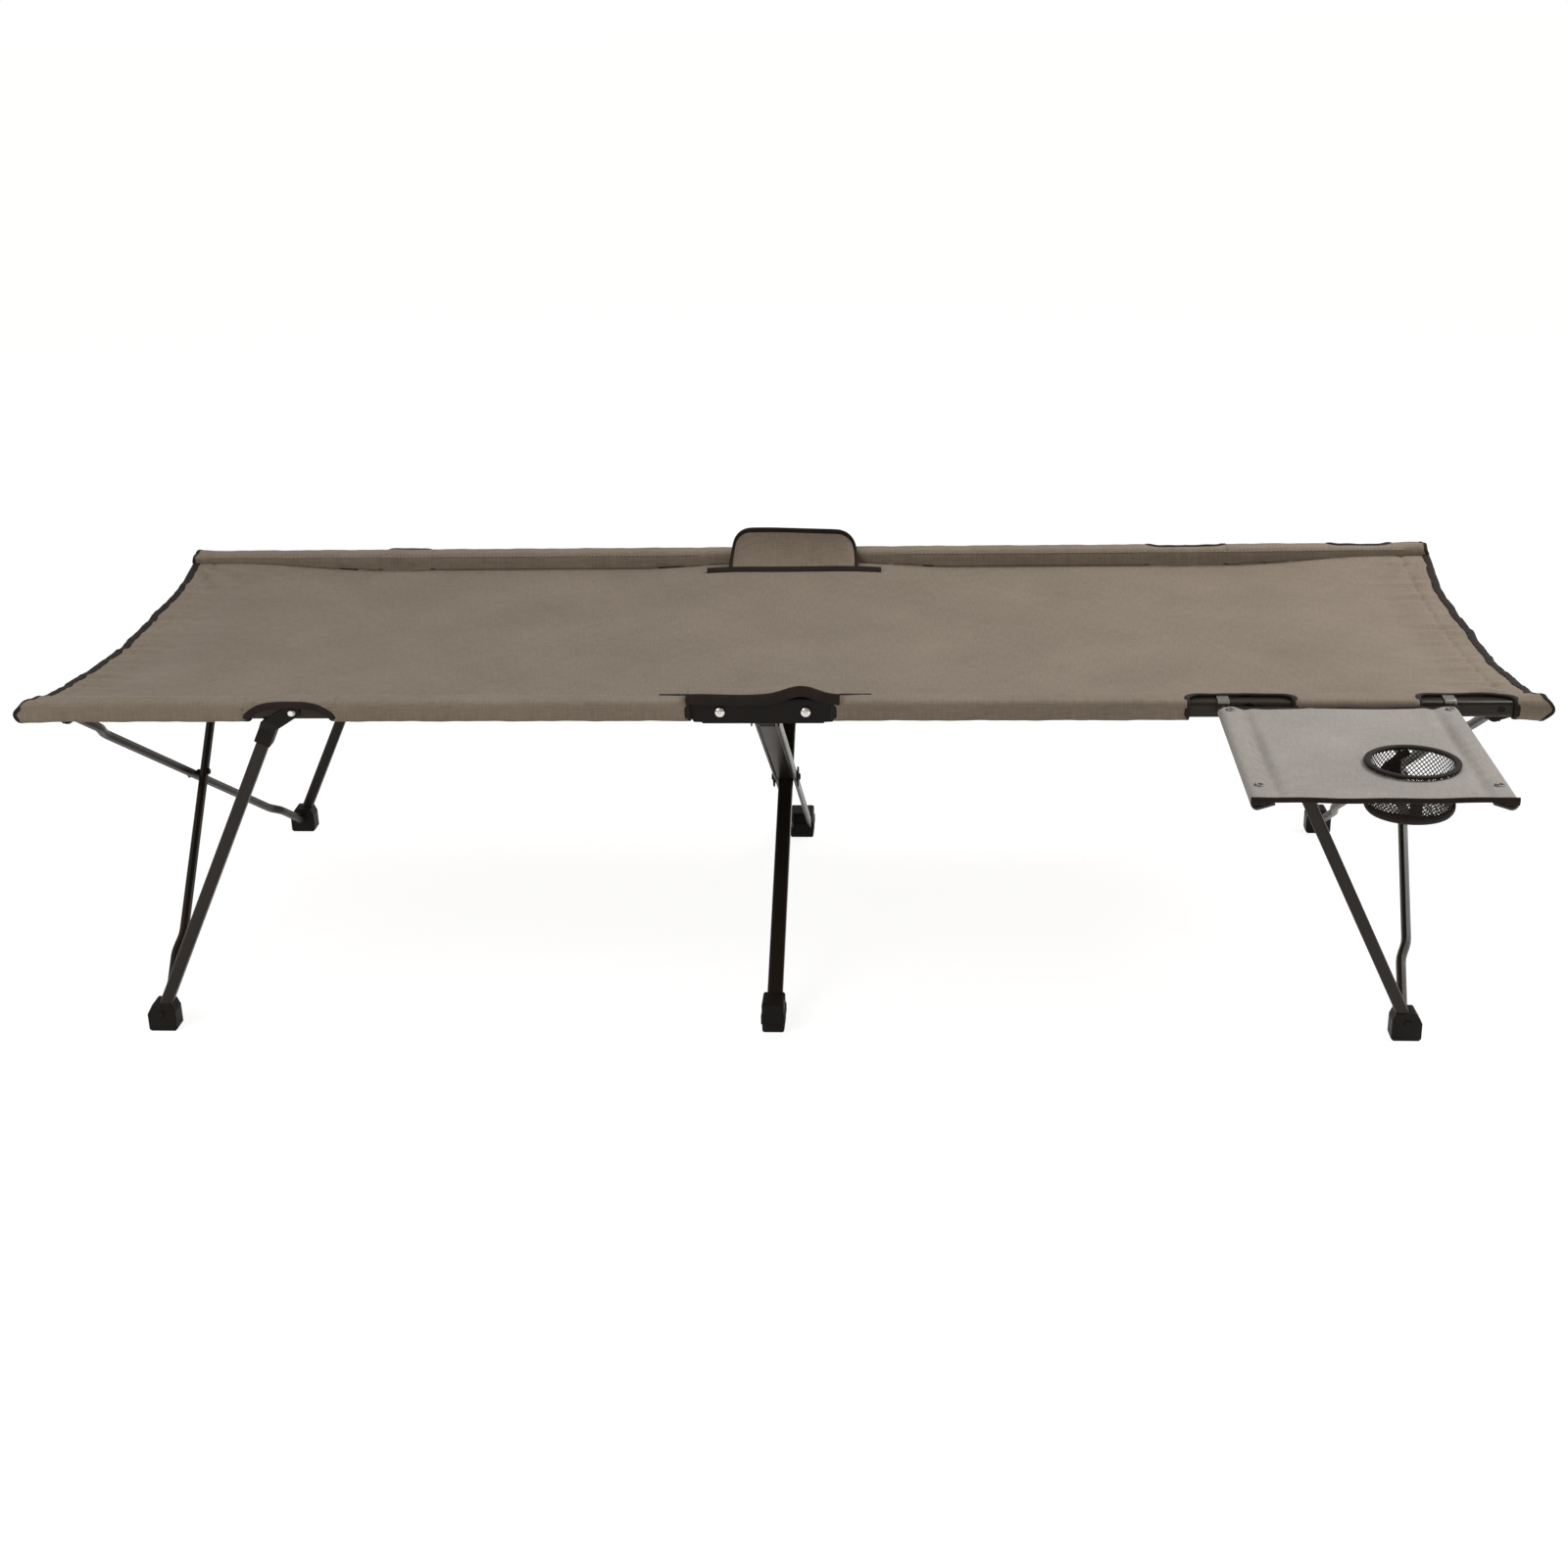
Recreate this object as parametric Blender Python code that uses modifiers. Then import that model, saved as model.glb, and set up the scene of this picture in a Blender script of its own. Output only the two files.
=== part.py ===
# Folding camp cot with a hook-on side table.
# Units are metres, +Z is up, +X runs along the cot and +Y away from the table side.
# The origin is on the floor, midway between the outermost points in X and in Y.
# The cot is first laid out about its own middle (x = 0 at the centre hinges, y = 0 midway between the
# side rails) under one empty, which then carries it to the origin.

import bpy
import bmesh
import math
from mathutils import Matrix, Vector

# Driving dimensions of the bed frame
COT_LENGTH = 1.86
HALF = COT_LENGTH / 2
RAIL_SPACING = 0.700
RAIL_HEIGHT = 0.447
RAIL_WIDTH = 0.025
RAIL_DEPTH = 0.020
RAIL_WALL = 0.0015
RAIL_CORNER = 0.004
RAIL_INNER_OVERHANG = 0.011
RAIL_END_INSET = 0.0045

# Centre hinge brackets
HINGE_PIN_X = 0.0525
BRACKET_LENGTH = 0.178
BRACKET_PLATE = 0.002
BRACKET_DROP = 0.015
BRACKET_TOP_CLEARANCE = 0.0052
EAR_WIDTH_BELOW_PIVOT = 0.009
SCREW_RADIUS = 0.003
SCREW_HEAD_RADIUS = 0.0055
SCREW_HEAD_HEIGHT = 0.003
NUT_STRIP = 0.0022

# Legs: the same span and slope for the middle pair and the end pairs, so that all narrow together
LEG_INSET = 0.0245
LEG_TOP_INSET = 0.046
LEG_TOP_X = HALF - LEG_TOP_INSET
LEG_TOP_DROP = 0.015
LEG_TOP_Z = RAIL_HEIGHT - LEG_TOP_DROP
LEG_LEAN = 0.077
FOOT_PIVOT_X = LEG_TOP_X - LEG_LEAN
FOOT_PIVOT_Z = 0.0247
MIDDLE_PIVOT_DROP = 0.017
MIDDLE_PIVOT_Z = RAIL_HEIGHT - MIDDLE_PIVOT_DROP

# Middle legs
BOX_LEG_WIDTH = 0.020
LEG_BAR_WIDTH = 0.005
LEG_WEB = 0.0012
LEG_WEB_STOP = 0.025
MIDDLE_LEG_DEPTH = 0.016
BOX_LEG_WALL = 0.0015
LEG_SIDE_GAP = 0.0006
HEAD_RADIUS = 0.0073
HEAD_LENGTH = 0.014
TONGUE_LENGTH = 0.020
MIDDLE_FOOT_WIDTH = 0.029
MIDDLE_FOOT_DEPTH = 0.040
MIDDLE_FOOT_HEIGHT = 0.041
MIDDLE_FOOT_REACH = 0.0255
CROSSING_WASHER_RADIUS = 0.015

# End cross legs
CROSS_LEG_RADIUS = 0.0065
CROSS_LEG_WALL = 0.0012
CROSS_LEG_JOGGLE = 0.008
JOGGLE_START = 0.075
JOGGLE_LENGTH = 0.040
LEG_PIN_RADIUS = 0.0025

# Hubs and end fittings
HUB_PLATE = 0.0020
HUB_CHEEK = 0.0025
HUB_RADIUS = 0.0095
TAB_PLATE = 0.002

# Struts
STRUT_REACH = 0.221
STRUT_PIVOT_X = FOOT_PIVOT_X - STRUT_REACH
STRUT_SIZE = 0.016
STRUT_WALL = 0.0015
STRUT_CORNER = 0.004
STRUT_OFFSET = 0.021
KNUCKLE_CHEEK = 0.003
KNUCKLE_SOCKET_START = 0.030
KNUCKLE_SOCKET_END = 0.058
KNUCKLE_SOCKET_WALL = 0.002
KNUCKLE_EYE_RADIUS = 0.0105
FOOT_WIDTH = 0.038
FOOT_HEIGHT = 0.039
FOOT_OUTER_REACH = 0.0095
FOOT_INNER_REACH = 0.0175

# Fabric
SLEEVE_CLEARANCE = 0.0025
SLEEVE_THICKNESS = 0.0012
PANEL_THICKNESS = 0.0015
PANEL_EDGE_INSET = 0.0180
PANEL_EDGE_HIGH = 0.0025
PANEL_SHOULDER = 0.014
PANEL_SAG = 0.018
PANEL_CENTRE_RISE = (0.135, 0.045)
PANEL_HUB_RISE = (0.114, 0.034)
PANEL_END_BOW = 0.003
PANEL_END_GAP = 0.003
PANEL_HALF_LENGTH = HALF - PANEL_END_GAP
PANEL_JOIN_X = 0.110
STRUT_NOTCH = (STRUT_PIVOT_X - 0.054, STRUT_PIVOT_X + 0.056)
CENTRE_NOTCH = 0.094
NOTCH_BITE = 0.022
FLAP_HALF_WIDTH = 0.094
FLAP_STAND = 0.047
FLAP_TOP = RAIL_HEIGHT + FLAP_STAND
FLAP_CORNER = 0.020
FLAP_THICKNESS = 0.002
NEAR_FLAP_REACH = 0.030

# Side table
TABLE_INSET = 0.099
TABLE_WIDTH = 0.282
TABLE_RIGHT = HALF - TABLE_INSET
TABLE_LEFT = TABLE_RIGHT - TABLE_WIDTH
TABLE_NOTCH = (TABLE_RIGHT - 0.054, TABLE_RIGHT + 0.084)
TABLE_FRONT = 0.318
TABLE_BACK = 0.0215
TABLE_CLOTH_THICKNESS = 0.0015
ARM_RADIUS = 0.006
SPREADER_RADIUS = 0.004
SPREADER_GAP = 0.0045
HOOK_WIDTH = 0.014
HOOK_PLATE = 0.002
HOOK_DROP = 0.003
CUP_X = TABLE_RIGHT - 0.091
CUP_FROM_RAIL = 0.212
CUP_RADIUS = 0.050
CUP_DEPTH = 0.056
POCKET_WALL = 0.0015
RIM_WIDTH = 0.006

# Facets round small holes and pins
PIN_SIDES = 12

# Clearances
FIT = 0.0003
PIN_CLEARANCE = 0.0003

RAIL_Y = RAIL_SPACING / 2
RAIL_SIDE = RAIL_WIDTH / 2
RAIL_TOP = RAIL_DEPTH / 2
LEG_Y = RAIL_Y - LEG_INSET
RAIL_OUTER_END = HALF - RAIL_END_INSET
RAIL_INNER_END = HINGE_PIN_X - RAIL_INNER_OVERHANG

# The end legs' plane leans by LEAN: its slope line runs from the hub down to the foot's pivot.
LEAN_RUN = LEG_TOP_X - FOOT_PIVOT_X
LEAN_DROP = LEG_TOP_Z - FOOT_PIVOT_Z
SLOPE_LENGTH = math.hypot(LEAN_RUN, LEAN_DROP)
LEG_LENGTH = math.hypot(2 * LEG_Y, SLOPE_LENGTH)
LEG_ANGLE = math.atan2(SLOPE_LENGTH, 2 * LEG_Y)

BAR_OUTER = BOX_LEG_WIDTH / 2 + LEG_SIDE_GAP + LEG_BAR_WIDTH
BAR_INNER = BOX_LEG_WIDTH / 2 + LEG_SIDE_GAP
MIDDLE_FOOT_Z = MIDDLE_PIVOT_Z - SLOPE_LENGTH

# Outermost points in Y, which set where the origin lies
NEAR_LIMIT = -(RAIL_Y + TABLE_FRONT)
FAR_LIMIT = RAIL_Y + RAIL_SIDE + 2 * FIT + KNUCKLE_CHEEK + SCREW_HEAD_HEIGHT
ORIGIN_Y = (NEAR_LIMIT + FAR_LIMIT) / 2

TABLE_CLOTH_BASE = RAIL_HEIGHT + ARM_RADIUS + FIT

COLLECTION = "camp_cot"


def clear_scene():
    for obj in list(bpy.data.objects):
        bpy.data.objects.remove(obj, do_unlink=True)
    collection = bpy.data.collections.new(COLLECTION)
    bpy.context.scene.collection.children.link(collection)
    return collection


PARTS = clear_scene()


def material(name, colour, roughness, metallic=0.0):
    mat = bpy.data.materials.new(name)
    mat.use_nodes = True
    shader = mat.node_tree.nodes["Principled BSDF"]
    shader.inputs["Base Color"].default_value = (*colour, 1.0)
    shader.inputs["Roughness"].default_value = roughness
    shader.inputs["Metallic"].default_value = metallic
    mat.diffuse_color = (*colour, 1.0)
    return mat


POWDER_COAT = material("dark_powder_coat", (0.020, 0.017, 0.015), 0.35, 0.3)
BLACK_PLASTIC = material("black_plastic", (0.012, 0.012, 0.012), 0.5)
ZINC = material("zinc_plated_steel", (0.62, 0.62, 0.60), 0.3, 1.0)
BED_CLOTH = material("taupe_polyester", (0.235, 0.205, 0.175), 0.9)
TABLE_CLOTH = material("grey_polyester", (0.30, 0.30, 0.29), 0.9)
MESH_NET = material("black_mesh_net", (0.03, 0.03, 0.03), 0.8)


# Mesh helpers: each returns a mesh that holds closed bodies

def temporary_object(mesh_or_curve):
    obj = bpy.data.objects.new("work", mesh_or_curve)
    bpy.context.scene.collection.objects.link(obj)
    return obj


def evaluated_mesh(obj):
    """The mesh of obj as modifiers leave it, welded, with obj removed."""
    graph = bpy.context.evaluated_depsgraph_get()
    mesh = bpy.data.meshes.new_from_object(obj.evaluated_get(graph))
    data = obj.data
    bpy.data.objects.remove(obj, do_unlink=True)
    if data.users == 0:
        owner = bpy.data.curves if isinstance(data, bpy.types.Curve) else bpy.data.meshes
        owner.remove(data)
    bm = bmesh.new()
    bm.from_mesh(mesh)
    bmesh.ops.remove_doubles(bm, verts=bm.verts, dist=0.00001)
    bmesh.ops.recalc_face_normals(bm, faces=bm.faces)
    bm.to_mesh(mesh)
    bm.free()
    mesh.materials.clear()
    return mesh


def slab(loops, thickness):
    """Flat outlines in local XY, inner loops being holes, given a thickness centred on local Z."""
    curve = bpy.data.curves.new("outline", "CURVE")
    curve.dimensions = "2D"
    curve.fill_mode = "BOTH"
    curve.extrude = thickness / 2
    for loop in loops:
        spline = curve.splines.new("POLY")
        spline.points.add(len(loop) - 1)
        for point, (x, y) in zip(spline.points, loop):
            point.co = (x, y, 0.0, 1.0)
        spline.use_cyclic_u = True
    return evaluated_mesh(temporary_object(curve))


def tube(points, radius, radii=None, sides_level=2):
    """A round bar along the points, with its ends filled; radii scales the radius point by point."""
    curve = bpy.data.curves.new("path", "CURVE")
    curve.dimensions = "3D"
    curve.bevel_depth = radius
    curve.bevel_resolution = sides_level
    curve.use_fill_caps = True
    spline = curve.splines.new("POLY")
    spline.points.add(len(points) - 1)
    for index, point in enumerate(points):
        spline.points[index].co = (*point, 1.0)
        if radii:
            spline.points[index].radius = radii[index]
    return evaluated_mesh(temporary_object(curve))


def cylinder(radius, length, segments=24, top_radius=None):
    """A cylinder or cone along local Z, centred."""
    bm = bmesh.new()
    top = radius if top_radius is None else top_radius
    bmesh.ops.create_cone(bm, cap_ends=True, segments=segments, radius1=radius, radius2=top, depth=length)
    mesh = bpy.data.meshes.new("cylinder")
    bm.to_mesh(mesh)
    bm.free()
    return mesh


def box(low, high):
    bm = bmesh.new()
    bmesh.ops.create_cube(bm, size=1.0)
    low = Vector(low)
    high = Vector(high)
    size = high - low
    bmesh.ops.scale(bm, vec=size, verts=bm.verts)
    bmesh.ops.translate(bm, vec=(low + high) / 2, verts=bm.verts)
    mesh = bpy.data.meshes.new("box")
    bm.to_mesh(mesh)
    bm.free()
    return mesh


def bevelled(mesh, width, segments=2, angle=math.radians(40)):
    obj = temporary_object(mesh)
    bevel = obj.modifiers.new("rounded_edges", "BEVEL")
    bevel.width = width
    bevel.segments = segments
    bevel.limit_method = "ANGLE"
    bevel.angle_limit = angle
    return evaluated_mesh(obj)


def combined(base, tools, operation):
    """base joined with, or cut by, each tool in turn."""
    obj = temporary_object(base)
    helpers = []
    for tool in tools:
        helper = temporary_object(tool)
        helpers.append(helper)
        step = obj.modifiers.new(operation.lower(), "BOOLEAN")
        step.operation = operation
        step.solver = "EXACT"
        step.object = helper
    mesh = evaluated_mesh(obj)
    for helper in helpers:
        data = helper.data
        bpy.data.objects.remove(helper, do_unlink=True)
        bpy.data.meshes.remove(data)
    return mesh


def joined(base, *tools):
    return combined(base, tools, "UNION")


def cut(base, *tools):
    return combined(base, tools, "DIFFERENCE")


def grouped(*meshes):
    """Separate bodies kept side by side in one mesh."""
    bm = bmesh.new()
    for mesh in meshes:
        bm.from_mesh(mesh)
    group = bpy.data.meshes.new("group")
    bm.to_mesh(group)
    bm.free()
    return group


def frame(origin, x_axis, y_axis):
    """The matrix that takes local axes to x_axis, y_axis and their cross product, at origin."""
    x_axis = Vector(x_axis).normalized()
    y_axis = Vector(y_axis).normalized()
    z_axis = x_axis.cross(y_axis)
    matrix = Matrix((x_axis, y_axis, z_axis)).transposed().to_4x4()
    matrix.translation = Vector(origin)
    return matrix


def put(mesh, matrix):
    mesh.transform(matrix)
    if matrix.determinant() < 0:
        mesh.flip_normals()
    return mesh


def along(mesh, centre, axis):
    """Turns a mesh that lies along local Z to lie along axis, centred at centre."""
    turn = Vector((0, 0, 1)).rotation_difference(Vector(axis)).to_matrix().to_4x4()
    return put(mesh, Matrix.Translation(Vector(centre)) @ turn)


def corner_copy(mesh, side_x, side_y):
    """The mirror image, for another corner, of a mesh made for the +X, +Y corner."""
    return put(mesh.copy(), Matrix.Diagonal((side_x, side_y, 1, 1)))


def empty(name, location, parent=None):
    obj = bpy.data.objects.new(name, None)
    obj.empty_display_size = 0.03
    PARTS.objects.link(obj)
    obj["place"] = list(location)
    obj.parent = parent
    base = Vector(parent["place"]) if parent else Vector((0, 0, 0))
    obj.location = Vector(location) - base
    return obj


def piece(name, mesh, mat, axis):
    """An object whose origin lies on the joint's axis, which the empty named axis marks."""
    mesh.name = name
    mesh.transform(Matrix.Translation(-Vector(axis["place"])))
    mesh.materials.append(mat)
    mesh.shade_smooth()
    mesh.set_sharp_from_angle(angle=math.radians(35))
    obj = bpy.data.objects.new(name, mesh)
    PARTS.objects.link(obj)
    obj.parent = axis
    return obj


# Outlines

def arc(centre, radius, start, end, steps):
    """Points on a circle from angle start to angle end, in degrees."""
    points = []
    for step in range(steps + 1):
        angle = math.radians(start + (end - start) * step / steps)
        points.append((centre[0] + radius * math.cos(angle), centre[1] + radius * math.sin(angle)))
    return points


def rounded_rectangle(width, height, radius, steps=3, centre=(0.0, 0.0)):
    points = []
    for sign_x, sign_y, start in ((1, 1, 0), (-1, 1, 90), (-1, -1, 180), (1, -1, 270)):
        corner = (centre[0] + sign_x * (width / 2 - radius), centre[1] + sign_y * (height / 2 - radius))
        points += arc(corner, radius, start, start + 90, steps)
    return points


def circle(centre, radius, steps=20):
    return arc(centre, radius, 0, 360 - 360 / steps, steps - 1)


# Frames whose local XY plane is one of the cot's planes and whose local Z is the extrusion

def plane_yz(x):
    return frame((x, 0, 0), (0, 1, 0), (0, 0, 1))


def plane_xz(y):
    return frame((0, y, 0), (1, 0, 0), (0, 0, 1))


# Side rails

def rail_mesh():
    """Rounded rectangular tube, with holes for the hinge screw, the knuckle screw and the end rivet."""
    outer = rounded_rectangle(RAIL_WIDTH, RAIL_DEPTH, RAIL_CORNER, 2, (RAIL_Y, RAIL_HEIGHT))
    inner = rounded_rectangle(RAIL_WIDTH - 2 * RAIL_WALL, RAIL_DEPTH - 2 * RAIL_WALL,
                              RAIL_CORNER - RAIL_WALL, 2, (RAIL_Y, RAIL_HEIGHT))
    length = RAIL_OUTER_END - RAIL_INNER_END
    mesh = put(slab([outer, inner], length), plane_yz((RAIL_OUTER_END + RAIL_INNER_END) / 2))
    drills = []
    for x in (HINGE_PIN_X, STRUT_PIVOT_X):
        drill = cylinder(SCREW_RADIUS + PIN_CLEARANCE, RAIL_WIDTH * 2, PIN_SIDES)
        drills.append(along(drill, (x, RAIL_Y, RAIL_HEIGHT), (0, 1, 0)))
    rivet = cylinder(LEG_PIN_RADIUS + PIN_CLEARANCE, RAIL_WIDTH, PIN_SIDES)
    drills.append(along(rivet, (LEG_TOP_X, RAIL_Y + RAIL_SIDE, RAIL_HEIGHT), (0, 1, 0)))
    return cut(mesh, *drills)


def end_fitting_mesh():
    """Plug in the rail's end with its cap, the hanging tab for the hub and the rivet in the rail's side."""
    plug_width = RAIL_WIDTH - 2 * RAIL_WALL - 2 * FIT
    plug_depth = RAIL_DEPTH - 2 * RAIL_WALL - 2 * FIT
    plug_start = LEG_TOP_X - 0.020
    plug_end = HALF - 0.002
    plug_outline = rounded_rectangle(plug_width, plug_depth, 0.002, 2, (RAIL_Y, RAIL_HEIGHT))
    plug = put(slab([plug_outline], plug_end - plug_start), plane_yz((plug_end + plug_start) / 2))
    tab_inner = RAIL_Y - RAIL_SIDE - FIT - TAB_PLATE
    tab_outer = RAIL_Y - RAIL_SIDE - FIT
    cap_outer = RAIL_Y + RAIL_SIDE
    cap_start = RAIL_OUTER_END + FIT
    cap_width = cap_outer - tab_inner
    cap_outline = rounded_rectangle(cap_width, RAIL_DEPTH, 0.003, 3, ((cap_outer + tab_inner) / 2, RAIL_HEIGHT))
    cap = put(slab([cap_outline], HALF - cap_start), plane_yz((HALF + cap_start) / 2))
    top = RAIL_HEIGHT + RAIL_TOP - 0.003
    lower = RAIL_HEIGHT - RAIL_TOP
    outline = [(HALF, lower), (HALF, top), (LEG_TOP_X - HUB_RADIUS, top)]
    outline += arc((LEG_TOP_X, LEG_TOP_Z), HUB_RADIUS, 180, 310, 8)
    hole = circle((LEG_TOP_X, LEG_TOP_Z), LEG_PIN_RADIUS + PIN_CLEARANCE, PIN_SIDES)
    tab = put(slab([outline, hole], TAB_PLATE), plane_xz((tab_inner + tab_outer) / 2))
    rivet_length = RAIL_SIDE + FIT
    rivet = cylinder(LEG_PIN_RADIUS, rivet_length, PIN_SIDES)
    along(rivet, (LEG_TOP_X, RAIL_Y + rivet_length / 2, RAIL_HEIGHT), (0, 1, 0))
    head_height = 0.0018
    head = cylinder(0.0045, head_height, 16, 0.003)
    along(head, (LEG_TOP_X, RAIL_Y + RAIL_SIDE + FIT + head_height / 2, RAIL_HEIGHT), (0, 1, 0))
    return joined(plug, cap, tab, rivet, head)


# Centre hinge brackets: made for the far side, mirrored for the near one

def ear_outline():
    """Side view of an ear in YZ: it grows from the inner plate and is round about the leg's pivot."""
    plate = RAIL_Y - RAIL_SIDE - FIT - BRACKET_PLATE / 2
    radius = EAR_WIDTH_BELOW_PIVOT
    outline = [(plate, MIDDLE_PIVOT_Z - radius - 0.003), (plate, MIDDLE_PIVOT_Z + radius)]
    outline += arc((LEG_Y, MIDDLE_PIVOT_Z), radius, 90, 270, 8)
    return outline


def bracket_mesh():
    """Channel folded over both rail ends, open at the bottom, with two ears for the middle leg."""
    side = RAIL_SIDE + FIT
    outer = side + BRACKET_PLATE
    under = RAIL_HEIGHT + RAIL_TOP + BRACKET_TOP_CLEARANCE
    top = under + BRACKET_PLATE
    bottom = RAIL_HEIGHT - BRACKET_DROP
    fold = 0.004
    section = [(RAIL_Y + outer, bottom)]
    section += arc((RAIL_Y + outer - fold, top - fold), fold, 0, 90, 4)
    section += arc((RAIL_Y - outer + fold, top - fold), fold, 90, 180, 4)
    section += [(RAIL_Y - outer, bottom), (RAIL_Y - side, bottom)]
    inner_fold = fold - BRACKET_PLATE
    section += arc((RAIL_Y - side + inner_fold, under - inner_fold), inner_fold, 180, 90, 3)
    section += arc((RAIL_Y + side - inner_fold, under - inner_fold), inner_fold, 90, 0, 3)
    section += [(RAIL_Y + side, bottom)]
    channel = put(slab([section], BRACKET_LENGTH), plane_yz(0))
    half = BRACKET_LENGTH / 2
    ears = []
    for sign in (-1, 1):
        x = sign * (BAR_OUTER + FIT + BRACKET_PLATE / 2)
        hole = circle((LEG_Y, MIDDLE_PIVOT_Z), SCREW_RADIUS + PIN_CLEARANCE, PIN_SIDES)
        ears.append(put(slab([ear_outline(), hole], BRACKET_PLATE), plane_yz(x)))
    body = joined(channel, *ears)
    drills = []
    for sign in (-1, 1):
        drill = cylinder(SCREW_RADIUS + PIN_CLEARANCE, RAIL_WIDTH * 2, PIN_SIDES)
        drills.append(along(drill, (sign * HINGE_PIN_X, RAIL_Y, RAIL_HEIGHT), (0, 1, 0)))
        clip = [(sign * half, bottom - 0.002), (sign * (half + 0.002), bottom + 0.008), (sign * half, bottom + 0.008),
                (sign * (half - 0.004), bottom + 0.002), (sign * (half - 0.014), bottom + 0.0015),
                (sign * (half - 0.016), bottom - 0.002)]
        drills.append(put(slab([clip], RAIL_WIDTH * 2), plane_xz(RAIL_Y)))
    return cut(body, *drills)


def hinge_screws_mesh():
    """The two through screws that the rails turn on, domed outside, with one nut strip inside."""
    face = RAIL_SIDE + 2 * FIT + BRACKET_PLATE
    strip_low = MIDDLE_PIVOT_Z + EAR_WIDTH_BELOW_PIVOT + FIT
    strip_height = 2 * (RAIL_HEIGHT - strip_low)
    strip_outline = rounded_rectangle(2 * (HINGE_PIN_X + SCREW_HEAD_RADIUS), strip_height, 0.003, 2, (0, RAIL_HEIGHT))
    strip_y = RAIL_Y - face - NUT_STRIP / 2
    strip = put(slab([strip_outline], NUT_STRIP), plane_xz(strip_y))
    tools = []
    for sign in (-1, 1):
        centre = Vector((sign * HINGE_PIN_X, RAIL_Y, RAIL_HEIGHT))
        tools.append(along(cylinder(SCREW_RADIUS, 2 * face + NUT_STRIP, PIN_SIDES), centre, (0, 1, 0)))
        head = cylinder(SCREW_HEAD_RADIUS, SCREW_HEAD_HEIGHT, 16, SCREW_HEAD_RADIUS * 0.6)
        tools.append(along(head, centre + Vector((0, face + SCREW_HEAD_HEIGHT / 2, 0)), (0, 1, 0)))
    return joined(strip, *tools)


def leg_rivet_mesh():
    """Rivet along X that carries the middle leg's head between the ears."""
    face = BAR_OUTER + 2 * FIT + BRACKET_PLATE
    head_height = 0.0016
    centre = Vector((0, LEG_Y, MIDDLE_PIVOT_Z))
    shank = along(cylinder(SCREW_RADIUS, 2 * face + 0.001, PIN_SIDES), centre, (1, 0, 0))
    heads = []
    for sign in (-1, 1):
        head = cylinder(0.0055, head_height, 16, 0.0045)
        shift = Vector((sign * (face + head_height / 2), 0, 0))
        heads.append(along(head, centre + shift, (sign, 0, 0)))
    return joined(shank, *heads)


# Middle legs: made for the leg that hangs from the far bracket and stands at the near foot

DOWN_LEG = Vector((0, -math.cos(LEG_ANGLE), -math.sin(LEG_ANGLE)))
LEG_TOP = Vector((0, LEG_Y, MIDDLE_PIVOT_Z))
ACROSS_LEG = Vector((1, 0, 0))


def leg_frame(distance, x=0.0):
    """Local X across the leg, local Y its depth, local Z down the leg, at a distance from the pivot."""
    depth_axis = DOWN_LEG.cross(ACROSS_LEG)
    return frame(LEG_TOP + DOWN_LEG * distance + Vector((x, 0, 0)), ACROSS_LEG, depth_axis)


def leg_side_frame(x):
    """Local X down the leg and local Y its depth, so that a slab's thickness runs across the leg."""
    depth_axis = DOWN_LEG.cross(ACROSS_LEG)
    return frame(LEG_TOP + Vector((x, 0, 0)), DOWN_LEG, -depth_axis)


def crossing_drill():
    centre = LEG_TOP + DOWN_LEG * LEG_LENGTH / 2
    return along(cylinder(SCREW_RADIUS + PIN_CLEARANCE, 0.08, PIN_SIDES), centre, (1, 0, 0))


def box_leg_mesh():
    outer = rounded_rectangle(BOX_LEG_WIDTH, MIDDLE_LEG_DEPTH, 0.0035, 3)
    inner = rounded_rectangle(BOX_LEG_WIDTH - 2 * BOX_LEG_WALL, MIDDLE_LEG_DEPTH - 2 * BOX_LEG_WALL, 0.0015, 2)
    start = HEAD_LENGTH + FIT
    length = LEG_LENGTH - start
    return cut(put(slab([outer, inner], length), leg_frame(start + length / 2)), crossing_drill())


def leg_bar_mesh(side):
    """One of the two flat bars that straddle the box leg; the right one carries the web."""
    start = HEAD_LENGTH + FIT
    length = LEG_LENGTH - start
    outline = rounded_rectangle(LEG_BAR_WIDTH, MIDDLE_LEG_DEPTH, 0.0018, 2)
    x = side * (BAR_INNER + LEG_BAR_WIDTH / 2)
    bar = cut(put(slab([outline], length), leg_frame(start + length / 2, x)), crossing_drill())
    return joined(bar, leg_web_mesh()) if side > 0 else bar


def leg_web_mesh():
    """Plate that closes the underside between the bars from the head to short of the crossing."""
    start = HEAD_LENGTH + TONGUE_LENGTH + FIT
    end = LEG_LENGTH / 2 - LEG_WEB_STOP
    low, high = FIT - BAR_INNER, BAR_INNER + LEG_BAR_WIDTH / 2
    outer = LEG_WEB / 2 - MIDDLE_LEG_DEPTH / 2
    outline = [(low, outer), (high, outer), (high, outer + LEG_WEB), (low, outer + LEG_WEB)]
    return put(slab([outline], end - start), leg_frame((start + end) / 2))


def leg_head_mesh(tongue_width, tongue_depth):
    """Plastic block about the pivot, with a tongue that the leg is fixed to."""
    side = [(HEAD_LENGTH, -HEAD_RADIUS), (HEAD_LENGTH, HEAD_RADIUS)]
    side += arc((0, 0), HEAD_RADIUS, 90, 270, 10)
    hole = circle((0, 0), SCREW_RADIUS + PIN_CLEARANCE, PIN_SIDES)
    block = put(slab([side, hole], 2 * BAR_OUTER), leg_side_frame(0))
    length = TONGUE_LENGTH + 0.002
    tongue = put(slab([rounded_rectangle(tongue_width, tongue_depth, 0.001, 1)], length),
                 leg_frame(HEAD_LENGTH + TONGUE_LENGTH - length / 2))
    return joined(block, tongue)


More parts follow.
